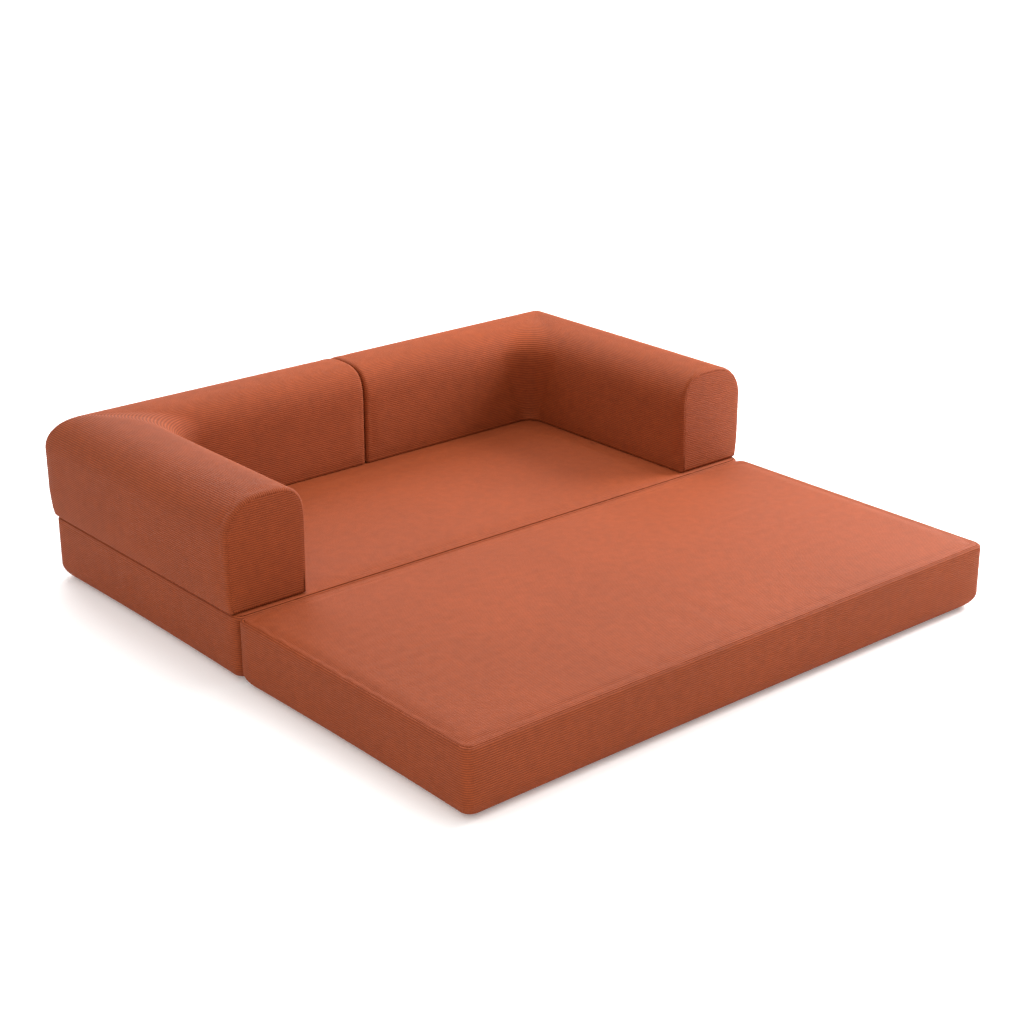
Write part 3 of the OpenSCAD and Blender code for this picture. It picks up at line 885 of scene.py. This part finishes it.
def build_module(side, start, mirror=False):
    """Makes one corner module's cushion from its panels. start is as in module_panels."""
    wrap, back_cap, arm_cap = module_panels(start, mirror)
    centre = wrap.points.reshape(-1, 3).mean(axis=0)
    low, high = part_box(side + "_cover")
    inner_x = high.x if mirror else low.x
    zip_top = MODULE_BOTTOM + settings().modules.flat_side + ZIP_MARGIN

    def hold(places):
        x, y, z = places.T
        held = np.full(len(places), SOFT_HOLD)
        held[(y < low.y + END_DEPTH) | (np.abs(x - inner_x) < END_DEPTH)] = FIRM_HOLD
        held[z < MODULE_BOTTOM + FOOT_HEIGHT] = FIRM_HOLD
        held[(z < zip_top) & (y > high.y - ZIP_MARGIN)] = FIRM_HOLD
        return held

    name = side + "_corner_cushion"
    settle(name, [wrap], hold)
    for panel in (wrap, back_cap, arm_cap):
        panel.finish(centre)

    shell = bmesh.new()
    wrap_verts = wrap.add_to(shell, wrap.points, wrap.rib_number())
    back_verts = back_cap.add_to(shell, back_cap.points, back_cap.rib_number())
    arm_verts = arm_cap.add_to(shell, arm_cap.points, arm_cap.rib_number())
    weld(shell, [*wrap_verts[:, 0], *wrap_verts[:, -1]])
    join_loops(shell, wrap_verts[0], border(back_verts))
    join_loops(shell, wrap_verts[-1], border(arm_verts))
    cushion = shell_object(shell, name)
    dress(cushion, "ribbed_cloth")
    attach(cushion, side + "_module")
    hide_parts(side + "_cover", side + "_back_foam", side + "_arm_foam")


# Undersides


def thicken(shell, height):
    """Raises flat faces into a closed sheet of an even thickness."""
    faces = list(shell.faces)
    raised = bmesh.ops.extrude_face_region(shell, geom=faces, use_keep_orig=True)["geom"]
    bmesh.ops.translate(shell, verts=only(bmesh.types.BMVert, raised), vec=(0, 0, height))


def build_underside(prefix, body, seat_corner=None):
    """Makes the non-slip cloth under a cushion. seat_corner is the inner corner of an L
    shape, and a rectangle has none."""
    low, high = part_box(prefix + "_sole")
    lines_x = [low.x, high.x]
    lines_y = [low.y, high.y]
    if seat_corner is not None:
        lines_x.insert(1, seat_corner[0])
        lines_y.insert(1, seat_corner[1])
    cells = len(lines_x) - 1
    shell = bmesh.new()
    grid = bmesh.ops.create_grid(shell, x_segments=cells, y_segments=cells, size=1)["verts"]
    for vert, (x, y) in zip(grid, [(x, y) for y in lines_y for x in lines_x]):
        vert.co = (x, y, low.z)
    if seat_corner is not None:
        seat = Vector((low.x if seat_corner[0] > 0 else high.x, low.y))
        missing = min(shell.faces, key=lambda face: (face.calc_center_median().xy - seat).length)
        bmesh.ops.delete(shell, geom=[missing], context="FACES")
        bmesh.ops.dissolve_faces(shell, faces=list(shell.faces))
    bmesh.ops.bevel(
        shell, geom=list(shell.verts), offset=settings().cloths.corner, offset_type="OFFSET",
        segments=8, profile=0.5, affect="VERTICES", material=-1,
    )
    area = sum(face.calc_area() for face in shell.faces)
    thicken(shell, high.z - low.z)
    cloth = shell_object(shell, prefix + "_underside")
    cloth.data.shade_flat()
    dress(cloth, "dotted_cloth")
    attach(cloth, body)
    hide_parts(prefix + "_sole")


# Hinge cloth

SIDE_ROWS = 12
ARCH_STEPS = 10


def slab_faces():
    """The faces of the base and the front slab between which the hinge cloth lies, as y
    coordinates."""
    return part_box("base_cover")[0].y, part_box("front_cover")[1].y


def hinge_path():
    """The hinge cloth's cut from side to side of the gap, as places across it and heights
    of its outer side: up beside the base slab, over an arch between the slabs and down
    beside the front slab."""
    cloths = settings().cloths
    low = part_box("hinge_leaf_base")[0].z
    base_y, front_y = slab_faces()
    radius = (base_y - front_y) / 2 - cloths.hinge_space
    top = SLAB_TOP - cloths.hinge_dip
    heights = np.linspace(low, top, SIDE_ROWS)[:-1]
    points = [(base_y - cloths.hinge_space, z) for z in heights]
    points += arc(((base_y + front_y) / 2, top), (radius, radius), 0, 180, ARCH_STEPS)
    points += [(front_y + cloths.hinge_space, z) for z in heights[::-1]]
    return np.array(points)


def build_hinge_cloth():
    """Makes the cloth strip that joins the two slabs, arched in the gap where they fold."""
    covers = settings().covers
    cloths = settings().cloths
    low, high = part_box("hinge_leaf_base")
    path = hinge_path()
    columns = spaced(low.x, high.x, 2 * covers.column_step)
    points = np.empty((len(columns), len(path), 3))
    points[:, :, 0] = columns[:, None]
    points[:, :, 1:] = path
    cut = travel(path)[-1]
    run = (columns - low.x) / covers.rib_pitch
    cloth = Panel(points, range(len(path)), round(cut / covers.rib_pitch), run)
    shell = bmesh.new()
    cloth.add_to(shell, cloth.points, cloth.rib_number())
    shell.normal_update()
    bmesh.ops.solidify(shell, geom=list(shell.faces), thickness=-cloths.thickness)
    strip = shell_object(shell, "hinge_cloth")
    dress(strip, "ribbed_cloth")
    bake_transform(strip)
    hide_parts("hinge_leaf_base", "hinge_leaf_front")


# Zips

BLOCK_STEPS = 2  # steps round a block's edges
SOFT_BLOCK_STEPS = 3
TAPE_EDGE = 3  # each rounded edge's radius is the part's thickness divided by one of these
HEM_EDGE = 2.2
STOP_EDGE = 2
PLATE_EDGE = 2.5
FLANK_EDGE = 5
PULL_EDGE = 6
TURN_STAGGER = 0.25  # how far a turn's two ends stand from its middle, in turns
TURN_SIDES = 6
PULL_CORNER = 0.42  # radius of the pull's corners, as a share of its width
PULL_STEPS = 6
EYE_STEPS = 18
BRIDGE_SIDES = 10
BRIDGE_STEPS = 12
SHARP_EDGE = 1  # edges that turn further than this, in radians, are rounded off
PLATE_TAPER = 0.25  # how much narrower the slider's plate is at its far end
FLANK_PLACE = 0.75  # the flanks' place and length, as shares of the plate's half and length
FLANK_SHARE = 0.9
LYING = Matrix.Rotation(math.pi / 2, 4, "X")


def add_block(shell, centre, size, bevel, segments=BLOCK_STEPS):
    """Adds a block with rounded edges, and returns its vertices."""
    placed = Matrix.Translation(centre) @ Matrix.Diagonal((*size, 1))
    made = bmesh.ops.create_cube(shell, size=1, matrix=placed)["verts"]
    edges = list({edge for vert in made for edge in vert.link_edges})
    rounded_off = bmesh.ops.bevel(
        shell, geom=edges, offset=bevel, offset_type="OFFSET", segments=segments, profile=0.5,
        affect="EDGES", clamp_overlap=True, material=-1,
    )
    return list({*rounded_off["verts"], *[vert for vert in made if vert.is_valid]})


def add_part(shell, part):
    """Adds a part that was shaped on its own."""
    mesh = bpy.data.meshes.new("part")
    part.to_mesh(mesh)
    part.free()
    shell.from_mesh(mesh)
    bpy.data.meshes.remove(mesh)


def zip_place(prefix):
    """Where a zip lies: a matrix whose first axis runs along the zip from its slider, whose
    second points away from the cover and whose third points up; and its length and
    height."""
    low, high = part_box(prefix + "_zip")
    joint = next(j for j in frame["joints"] if j["name"] == prefix + "_zip_travel")
    along = Vector(joint["axis"])
    up = Vector((0, 0, 1))
    middle = (low + high) / 2
    outward = up.cross(along)
    if outward.dot(middle) < 0:
        outward = -outward
    span = abs((high - low).dot(along))
    depth = abs((high - low).dot(outward))
    start = middle - along * span / 2 - outward * (depth / 2 + settings().zips.clearance)
    place = Matrix((along, outward, up)).transposed().to_4x4()
    return Matrix.Translation(start) @ place, span, high.z - low.z


def build_tapes(prefix, body):
    """Makes the two woven tapes of a zip."""
    zips = settings().zips
    place, span, height = zip_place(prefix)
    shell = bmesh.new()
    strip = (height - zips.tape_gap) / 2
    for side in (-1, 1):
        centre = (span / 2, zips.clearance + zips.tape / 2, side * (zips.tape_gap + strip) / 2)
        add_block(shell, centre, (span, zips.tape, strip), zips.tape / TAPE_EDGE)
    bmesh.ops.transform(shell, matrix=place, verts=list(shell.verts))
    tapes = shell_object(shell, prefix + "_zip_tapes")
    dress(tapes, "woven_tape")
    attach(tapes, body)
    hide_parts(prefix + "_zip")


def build_hems(prefix, body):
    """Makes the hems of the cover that are stitched onto a zip's tapes."""
    zips = settings().zips
    place, span, height = zip_place(prefix)
    shell = bmesh.new()
    ribbed = ribbed_layer(shell)
    out = zips.clearance + zips.tape + zips.hem / 2
    size = (span, zips.hem, zips.hem_width)
    for side in (-1, 1):
        centre = (span / 2, out, side * (height - zips.hem_width) / 2)
        add_block(shell, centre, size, zips.hem / HEM_EDGE, SOFT_BLOCK_STEPS)
    for vert in shell.verts:
        vert[ribbed] = 1.0
    cloth_map = cloth_map_layer(shell)
    for face in shell.faces:
        for loop in face.loops:
            run, _, up = loop.vert.co
            across = (abs(up) - height / 2 + zips.hem_width) / zips.hem_width
            loop[cloth_map].uv = (run / settings().covers.rib_pitch, across)
    bmesh.ops.transform(shell, matrix=place, verts=list(shell.verts))
    hems = shell_object(shell, prefix + "_zip_hems")
    dress(hems, "ribbed_cloth")
    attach(hems, body)


def build_coil(prefix, body):
    """Makes the closed coil of a zip from its turns, with a stop at each end."""
    zips = settings().zips
    place, span, _ = zip_place(prefix)
    out = zips.clearance + zips.tape + zips.tooth_radius
    shell = bmesh.new()
    turns = int((span - 2 * zips.stop_length) / zips.tooth_pitch)
    reach = zips.tooth_length / 2 - zips.tooth_radius
    for number in range(turns):
        for side in (-1, 1):
            run = zips.stop_length + (number + 0.5 + TURN_STAGGER * side) * zips.tooth_pitch
            bmesh.ops.create_cone(
                shell, cap_ends=True, segments=TURN_SIDES, radius1=zips.tooth_radius,
                radius2=zips.tooth_radius, depth=zips.tooth_length,
                matrix=place @ Matrix.Translation((run, out, side * reach)),
            )
    stop = (zips.stop_length, 2 * zips.tooth_radius, 2 * reach + zips.tooth_length)
    stops = bmesh.new()
    for run in (zips.stop_length / 2, span - zips.stop_length / 2):
        add_block(stops, (run, out, 0), stop, zips.tooth_radius / STOP_EDGE)
    bmesh.ops.transform(stops, matrix=place, verts=list(stops.verts))
    add_part(shell, stops)
    coil = shell_object(shell, prefix + "_zip_coil")
    coil.data.shade_flat()
    dress(coil, "zip_coil")
    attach(coil, body)


def add_pull(shell, bottom, top, middle, out):
    """Adds a slider's flat pull with its eye. bottom and top are its ends' heights, middle
    is where it lies along the zip, and out is its distance from the cover."""
    zips = settings().zips
    centre = Vector((middle, out, (bottom + top) / 2))
    size = Matrix.Diagonal((zips.pull_width / 2, (top - bottom) / 2, 1, 1))
    outline = bmesh.new()
    bmesh.ops.create_grid(outline, x_segments=1, y_segments=1, size=1, matrix=size)
    bmesh.ops.bevel(
        outline, geom=list(outline.verts), offset=zips.pull_width * PULL_CORNER,
        offset_type="OFFSET", segments=PULL_STEPS, profile=0.5, affect="VERTICES", material=-1,
    )
    bmesh.ops.delete(outline, geom=list(outline.faces), context="FACES_ONLY")
    bmesh.ops.create_circle(
        outline, cap_ends=False, segments=EYE_STEPS, radius=zips.pull_eye,
        matrix=Matrix.Translation((0, -centre.z, 0)),
    )
    bmesh.ops.triangle_fill(outline, use_beauty=True, use_dissolve=True, edges=list(outline.edges))
    thicken(outline, zips.pull)
    rims = [
        edge for edge in outline.edges
        if len(edge.link_faces) == 2 and edge.calc_face_angle() > SHARP_EDGE
    ]
    bmesh.ops.bevel(
        outline, geom=rims, offset=zips.pull / PULL_EDGE, segments=1, profile=0.5, affect="EDGES",
        material=-1,
    )
    bmesh.ops.transform(outline, matrix=Matrix.Translation(centre) @ LYING, verts=list(outline.verts))
    add_part(shell, outline)


def build_slider(prefix, body):
    """Makes a zip's slider: its plate and flanks, the bridge and the pull."""
    zips = settings().zips
    place = zip_place(prefix)[0]
    inverse = place.inverted()
    corners = [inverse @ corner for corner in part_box(prefix + "_zip_slider")]
    low = Vector([min(values) for values in zip(*corners)])
    high = Vector([max(values) for values in zip(*corners)])
    long = high.x - low.x
    middle = (low.x + high.x) / 2
    pull_out = high.y - zips.pull
    plate_out = pull_out - zips.plate / 2
    shell = bmesh.new()
    plate_size = (long, zips.plate, 2 * high.z)
    plate_centre = (middle, plate_out, 0)
    plate = add_block(shell, plate_centre, plate_size, zips.plate / PLATE_EDGE, SOFT_BLOCK_STEPS)
    for vert in plate:
        vert.co.z *= 1 - PLATE_TAPER * smooth_step((vert.co.x - low.x) / long)
    flank_height = plate_out - zips.plate / 2 - low.y
    flank_size = (long * FLANK_SHARE, flank_height, zips.flank)
    for side in (-1, 1):
        across = side * (high.z * FLANK_PLACE - zips.flank / 2)
        centre = (middle, low.y + flank_height / 2, across)
        add_block(shell, centre, flank_size, zips.flank / FLANK_EDGE)
    foot = plate_out + zips.plate / 2 - zips.bridge_wire
    ring = bmesh.ops.create_circle(
        shell, cap_ends=False, segments=BRIDGE_SIDES, radius=zips.bridge_wire,
        matrix=Matrix.Translation((middle + zips.bridge_radius, foot, 0)) @ LYING,
    )["verts"]
    bmesh.ops.spin(
        shell, geom=list({edge for vert in ring for edge in vert.link_edges}),
        cent=(middle, foot, 0), axis=(0, 0, 1), dvec=(0, 0, 0), angle=math.pi,
        steps=BRIDGE_STEPS, space=Matrix.Identity(4), use_merge=False, use_duplicate=False,
    )
    bmesh.ops.holes_fill(shell, edges=open_edges(shell), sides=0)
    add_pull(shell, low.z, zips.pull_eye + zips.pull, middle, pull_out + zips.pull)
    bmesh.ops.transform(shell, matrix=place, verts=list(shell.verts))
    slider = shell_object(shell, prefix + "_zip_pull")
    slider.data.shade_flat()
    dress(slider, "satin_zinc")
    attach(slider, body)
    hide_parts(prefix + "_zip_slider")


# Materials

GROOVE_SHADE_SHARPNESS = 2.4
DOTS_PER_METRE = 110
PILE_PER_RIB = (3.0, 9.0, 1.0)  # how fine the pile is along the ribs and across them


def node(tree, kind, inputs=(), **options):
    """Adds a node, sets its options, and fills its inputs with values or links."""
    made = tree.nodes.new(kind)
    for option, value in options.items():
        setattr(made, option, value)
    for socket, value in dict(inputs).items():
        if isinstance(value, bpy.types.NodeSocket):
            tree.links.new(value, made.inputs[socket])
        else:
            made.inputs[socket].default_value = value
    return made


def object_place(tree):
    """A point's own coordinates on its piece."""
    return node(tree, "ShaderNodeTexCoord").outputs["Object"]


def math_node(tree, operation, first, second=0.0):
    """The result of a sum on one or two values."""
    return node(tree, "ShaderNodeMath", {0: first, 1: second}, operation=operation).outputs[0]


def vector_node(tree, operation, inputs):
    """The result of a sum on vectors."""
    made = node(tree, "ShaderNodeVectorMath", inputs, operation=operation)
    return made.outputs["Value" if operation == "LENGTH" else "Vector"]


def noise(tree, vector, scale, detail=2.0):
    """A soft noise from 0 to 1."""
    inputs = {"Vector": vector, "Scale": scale, "Detail": detail}
    return node(tree, "ShaderNodeTexNoise", inputs).outputs[0]


def ranged(tree, value, start, end, low, high):
    """A value carried from start and end to low and high, and held between them."""
    inputs = {0: value, 1: start, 2: end, 3: low, 4: high}
    return node(tree, "ShaderNodeMapRange", inputs).outputs[0]


def blend_colours(tree, factor, first, second, kind="MIX"):
    """Two colours blended by a factor."""
    inputs = {0: factor}
    for socket, value in ((6, first), (7, second)):
        inputs[socket] = value if isinstance(value, bpy.types.NodeSocket) else (*value, 1)
    return node(tree, "ShaderNodeMix", inputs, data_type="RGBA", blend_type=kind).outputs[2]


def toned(shade, amount):
    """A colour made lighter or darker."""
    return tuple(part * amount for part in shade)


def add_bump(tree, shader, strength, distance, height):
    """Gives a shader a fine relief."""
    inputs = {"Strength": strength, "Distance": distance, "Height": height}
    bump = node(tree, "ShaderNodeBump", inputs)
    tree.links.new(bump.outputs[0], shader.inputs["Normal"])


def ribbed_cloth(tree, shader):
    """Terracotta cloth with fine raised ribs, which lie on whole numbers of the piece's
    own map, painted shade in the grooves between the ribs, and the short pile between them."""
    finishes = settings().finishes
    own_map = node(tree, "ShaderNodeUVMap", uv_map=CLOTH_MAP).outputs[0]
    parts = node(tree, "ShaderNodeSeparateXYZ", {0: own_map})
    # Where the grooves lie between the ribs, which is the mask of the painted groove shade
    turn = math_node(tree, "MULTIPLY", parts.outputs[1], math.pi)
    wave = math_node(tree, "ABSOLUTE", math_node(tree, "COSINE", turn))
    groove = math_node(tree, "POWER", wave, GROOVE_SHADE_SHARPNESS)

    place = object_place(tree)
    worn = noise(tree, place, 3.2, 3.0)
    brushed = noise(tree, place, 38.0, 4.0)
    pile = noise(tree, vector_node(tree, "MULTIPLY", {0: own_map, 1: PILE_PER_RIB}), 1.0, 3.0)

    shade = ranged(tree, worn, 0.35, 0.65, 0, 1)
    ground = blend_colours(tree, shade, toned(finishes.cloth, 0.95), toned(finishes.cloth, 1.05))
    fleck = ranged(tree, brushed, 0.3, 0.7, 0.9, 1.08)
    grain = ranged(tree, pile, 0.3, 0.7, 0.88, 1.1)
    speck = math_node(tree, "MULTIPLY", fleck, grain)
    grey = node(tree, "ShaderNodeCombineColor", {0: speck, 1: speck, 2: speck}).outputs[0]
    ground = blend_colours(tree, 1.0, ground, grey, "MULTIPLY")
    # Painted shade: the colour is blended towards the groove colour in the grooves, as strongly as the
    # ribs there are deep, and by an even share where they are worn flat
    ribbed = node(tree, "ShaderNodeAttribute", attribute_name=RIBBED).outputs["Fac"]
    groove_shade_share = ranged(tree, ribbed, 0, 1, 0.45, groove)
    amount = math_node(tree, "MULTIPLY", groove_shade_share, 0.85)
    cloth_with_painted_shade = blend_colours(tree, amount, ground, finishes.groove)
    tree.links.new(cloth_with_painted_shade, shader.inputs["Base Color"])

    shader.inputs["Roughness"].default_value = 0.72
    shader.inputs["Specular IOR Level"].default_value = 0.22
    shader.inputs["Sheen Weight"].default_value = 0.06
    shader.inputs["Sheen Roughness"].default_value = 0.40
    shader.inputs["Sheen Tint"].default_value = (1.0, 0.42, 0.18, 1)
    add_bump(tree, shader, 0.35, 0.0006, pile)


def dotted_cloth(tree, shader):
    """Dark non-slip cloth with rows of small rubbery dots."""
    place = object_place(tree)
    rows = vector_node(tree, "SCALE", {0: place, 3: DOTS_PER_METRE})
    cell = vector_node(tree, "FRACTION", {0: rows})
    offset = vector_node(tree, "SUBTRACT", {0: cell, 1: (0.5, 0.5, 0)})
    flat = vector_node(tree, "MULTIPLY", {0: offset, 1: (1, 1, 0)})
    away = vector_node(tree, "LENGTH", {0: flat})
    dot = ranged(tree, away, 0.26, 0.34, 1, 0)
    base = settings().finishes.underside
    dark = blend_colours(tree, dot, base, toned(base, 0.45))
    tree.links.new(dark, shader.inputs["Base Color"])
    shine = ranged(tree, dot, 0, 1, 0.9, 0.42)
    tree.links.new(shine, shader.inputs["Roughness"])
    weave = noise(tree, place, 900.0)
    height = math_node(tree, "ADD", dot, math_node(tree, "MULTIPLY", weave, 0.25))
    add_bump(tree, shader, 0.6, 0.0006, height)


def woven_tape(tree, shader):
    """Woven zip tape with a fine twill."""
    inputs = {"Vector": object_place(tree), "Scale": 240.0, "Distortion": 0.6}
    twill = node(tree, "ShaderNodeTexWave", inputs, bands_direction="DIAGONAL").outputs["Fac"]
    tape = settings().finishes.tape
    weave = blend_colours(tree, twill, toned(tape, 0.78), tape)
    tree.links.new(weave, shader.inputs["Base Color"])
    shader.inputs["Roughness"].default_value = 0.85
    shader.inputs["Specular IOR Level"].default_value = 0.2
    add_bump(tree, shader, 0.4, 0.0003, twill)


def zip_coil(tree, shader):
    """Moulded coil, dyed to match."""
    tone = noise(tree, object_place(tree), 60.0)
    coil = settings().finishes.coil
    dyed = blend_colours(tree, tone, toned(coil, 0.85), toned(coil, 1.1))
    tree.links.new(dyed, shader.inputs["Base Color"])
    shader.inputs["Roughness"].default_value = 0.42


def satin_zinc(tree, shader):
    """Plated zinc with a satin finish."""
    grain = noise(tree, object_place(tree), 700.0, 3.0)
    metal = settings().finishes.metal
    plated = blend_colours(tree, grain, toned(metal, 0.9), metal)
    tree.links.new(plated, shader.inputs["Base Color"])
    shader.inputs["Metallic"].default_value = 1.0
    tree.links.new(ranged(tree, grain, 0, 1, 0.3, 0.45), shader.inputs["Roughness"])


def pale_floor(tree, shader):
    """Plain pale floor."""
    shader.inputs["Base Color"].default_value = (*settings().finishes.floor, 1)
    shader.inputs["Roughness"].default_value = 0.9
    shader.inputs["Specular IOR Level"].default_value = 0.1
    away = vector_node(tree, "LENGTH", {0: object_place(tree)})
    glow = ranged(tree, away, 1.6, 4.5, 0.13, 0.26)
    shader.inputs["Emission Color"].default_value = (1, 1, 1, 1)
    tree.links.new(glow, shader.inputs["Emission Strength"])


MATERIALS = {
    "ribbed_cloth": ribbed_cloth,
    "dotted_cloth": dotted_cloth,
    "woven_tape": woven_tape,
    "zip_coil": zip_coil,
    "satin_zinc": satin_zinc,
    "pale_floor": pale_floor,
}


def material_called(name):
    """The material of a name, which is made when a piece first asks for it."""
    found = bpy.data.materials.get(name)
    if found is None:
        found = bpy.data.materials.new(name)
        found.use_nodes = True
        MATERIALS[name](found.node_tree, found.node_tree.nodes["Principled BSDF"])
    return found


def dress(piece, material):
    """Gives a piece its material and the material slot that it stands for."""
    piece.data.materials.append(material_called(material))


# Stage

FOCAL = 68.47  # millimetres
FILM_WIDTH = 36
FAR_CLIP = 200
FLOOR_SIZE = 60
SURROUNDINGS = 0.93  # brightness of the light from all round
CAMERA_PLACE = (-3.5727, -4.2347, 2.4135)
CAMERA_RIGHT = (0.7623006, -0.6472137, -0.0034943)
CAMERA_DOWN = (-0.2369733, -0.2740795, -0.9320537)
CAMERA_AHEAD = (0.6022802, 0.7113332, -0.3623033)


def add_camera():
    """The camera at the picture's viewing angle."""
    data = bpy.data.cameras.new("camera")
    data.lens = FOCAL
    data.sensor_width = FILM_WIDTH
    data.clip_end = FAR_CLIP
    made = bpy.data.objects.new("camera", data)
    right = Vector(CAMERA_RIGHT)
    up = -Vector(CAMERA_DOWN)
    back = -Vector(CAMERA_AHEAD)
    turn = Matrix((right, up, back)).transposed().to_4x4()
    made.matrix_world = Matrix.Translation(CAMERA_PLACE) @ turn
    bpy.context.scene.collection.objects.link(made)
    bpy.context.scene.camera = made


def add_light(name, place, target, size, power, tint=(1, 1, 1)):
    """A square soft light that looks at a target."""
    data = bpy.data.lights.new(name, "AREA")
    data.shape = "SQUARE"
    data.size = size
    data.energy = power
    data.color = tint
    made = bpy.data.objects.new(name, data)
    made.location = place
    aim = Vector(target) - Vector(place)
    made.rotation_euler = aim.to_track_quat("-Z", "Y").to_euler()
    bpy.context.scene.collection.objects.link(made)


def add_floor():
    """A wide plain floor under the sofa bed."""
    shell = bmesh.new()
    bmesh.ops.create_grid(shell, x_segments=1, y_segments=1, size=FLOOR_SIZE)
    mesh = bpy.data.meshes.new("floor")
    shell.to_mesh(mesh)
    shell.free()
    floor = bpy.data.objects.new("floor", mesh)
    bpy.context.scene.collection.objects.link(floor)
    floor.data.materials.append(material_called("pale_floor"))


def add_surroundings():
    """Even pale light from all round."""
    world = bpy.data.worlds.new("studio")
    bpy.context.scene.world = world
    world.use_nodes = True
    background = world.node_tree.nodes["Background"]
    background.inputs["Color"].default_value = (1, 1, 1, 1)
    background.inputs["Strength"].default_value = SURROUNDINGS
    bpy.context.scene.view_settings.view_transform = "Standard"


# Operators


class SOFABED_OT_slabs(bpy.types.Operator):
    """Make the base slab's and the front slab's cushions"""
    bl_idname = "sofabed.slabs"
    bl_label = "Slab cushions"

    def execute(self, context):
        draw = settings().slabs.side_draw
        modules = settings().modules
        base_low, base_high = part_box("base_cover")
        front_low, front_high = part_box("front_cover")
        covered = modules.thickness + modules.inner_corner

        def carries_module_or_zip(x, y, z):
            under = (np.abs(x) > base_high.x - covered) | (y > base_high.y - covered)
            at_top = z > SLAB_TOP - CARRIER_DEPTH
            return (under & at_top) | (y > base_high.y - CARRIER_DEPTH)

        def carries_zip(x, y, z):
            return x > front_high.x - CARRIER_DEPTH

        base_hold = slab_hold(base_low, base_high, base_low.y, carries_module_or_zip)
        front_hold = slab_hold(front_low, front_high, front_high.y, carries_zip)
        build_slab("base", (0, draw, 0, draw), base_crown, base_hold, falls=True)
        build_slab("front", (0, draw, draw, 0), front_crown, front_hold)
        return {"FINISHED"}


class SOFABED_OT_corner_modules(bpy.types.Operator):
    """Make the left and right corner modules' cushions"""
    bl_idname = "sofabed.corner_modules"
    bl_label = "Corner module cushions"

    def execute(self, context):
        build_module("right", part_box("right_cover")[0].x)
        build_module("left", -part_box("left_cover")[1].x, mirror=True)
        return {"FINISHED"}


class SOFABED_OT_undersides(bpy.types.Operator):
    """Make the non-slip cloths under the four cushions"""
    bl_idname = "sofabed.undersides"
    bl_label = "Undersides"

    def execute(self, context):
        right_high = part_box("right_sole")[1]
        left_low, left_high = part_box("left_sole")
        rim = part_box("base_cover")[1].x - right_high.x
        strip = settings().modules.thickness - 2 * rim
        right_seat = (right_high.x - strip, right_high.y - strip)
        left_seat = (left_low.x + strip, left_high.y - strip)
        build_underside("base", "base_slab")
        build_underside("front", "front_slab")
        build_underside("right", "right_module", right_seat)
        build_underside("left", "left_module", left_seat)
        return {"FINISHED"}


class SOFABED_OT_hinge_cloth(bpy.types.Operator):
    """Make the cloth that joins the two slabs"""
    bl_idname = "sofabed.hinge_cloth"
    bl_label = "Hinge cloth"

    def execute(self, context):
        build_hinge_cloth()
        return {"FINISHED"}


class SOFABED_OT_zips(bpy.types.Operator):
    """Make the zips with their sliders"""
    bl_idname = "sofabed.zips"
    bl_label = "Zips"

    def execute(self, context):
        for prefix, body in (
            ("base", "base_slab"),
            ("front", "front_slab"),
            ("left", "left_module"),
            ("right", "right_module"),
        ):
            build_tapes(prefix, body)
            build_hems(prefix, body)
            build_coil(prefix, body)
            build_slider(prefix, prefix + "_slider")
        return {"FINISHED"}


class SOFABED_OT_stage(bpy.types.Operator):
    """Make the floor, the lights and the camera"""
    bl_idname = "sofabed.stage"
    bl_label = "Studio stage"

    def execute(self, context):
        add_camera()
        add_floor()
        add_surroundings()
        add_light("key", (3.7, -0.9, 2.2), (0.3, -0.2, 0.2), 2.0, 258)
        add_light("overhead", (0.2, 0.4, 3.4), (0, 0, 0.2), 2.4, 54)
        add_light("rear", (0.4, 3.4, 3.0), (0, 0, 0.2), 2.5, 96)
        add_light("behind", (4.4, 3.0, 2.3), (0.3, 0, 0.2), 2.4, 42)
        add_light("left", (-3.5, -2.4, 2.5), (0, 0.3, 0.2), 2.5, 32, (1, 0.88, 0.72))
        return {"FINISHED"}


class SOFABED_PT_panel(bpy.types.Panel):
    """Lists the sofa bed's operators"""
    bl_idname = "SOFABED_PT_panel"
    bl_label = "Sofa bed"
    bl_space_type = "VIEW_3D"
    bl_region_type = "UI"
    bl_category = "Sofa bed"

    def draw(self, context):
        for operator in OPERATORS:
            self.layout.operator(operator.bl_idname)


PROPERTIES = (CoverSizes, SlabSizes, ModuleSizes, ZipSizes, ClothSizes, Finishes, SofaBed)
OPERATORS = (
    SOFABED_OT_slabs, SOFABED_OT_corner_modules, SOFABED_OT_undersides, SOFABED_OT_hinge_cloth,
    SOFABED_OT_zips, SOFABED_OT_stage,
)


def register():
    """Registers the sizes, the operators and the panel."""
    for item in (*PROPERTIES, *OPERATORS, SOFABED_PT_panel):
        bpy.utils.register_class(item)
    bpy.types.Scene.sofa_bed = bpy.props.PointerProperty(type=SofaBed)


def unregister():
    """Removes what register added."""
    del bpy.types.Scene.sofa_bed
    for item in reversed((*PROPERTIES, *OPERATORS, SOFABED_PT_panel)):
        bpy.utils.unregister_class(item)


def main():
    """Makes the whole sofa bed and its stage."""
    register()
    bpy.ops.sofabed.slabs()
    bpy.ops.sofabed.corner_modules()
    bpy.ops.sofabed.undersides()
    bpy.ops.sofabed.hinge_cloth()
    bpy.ops.sofabed.zips()
    bpy.ops.sofabed.stage()


if __name__ == "__main__":
    main()
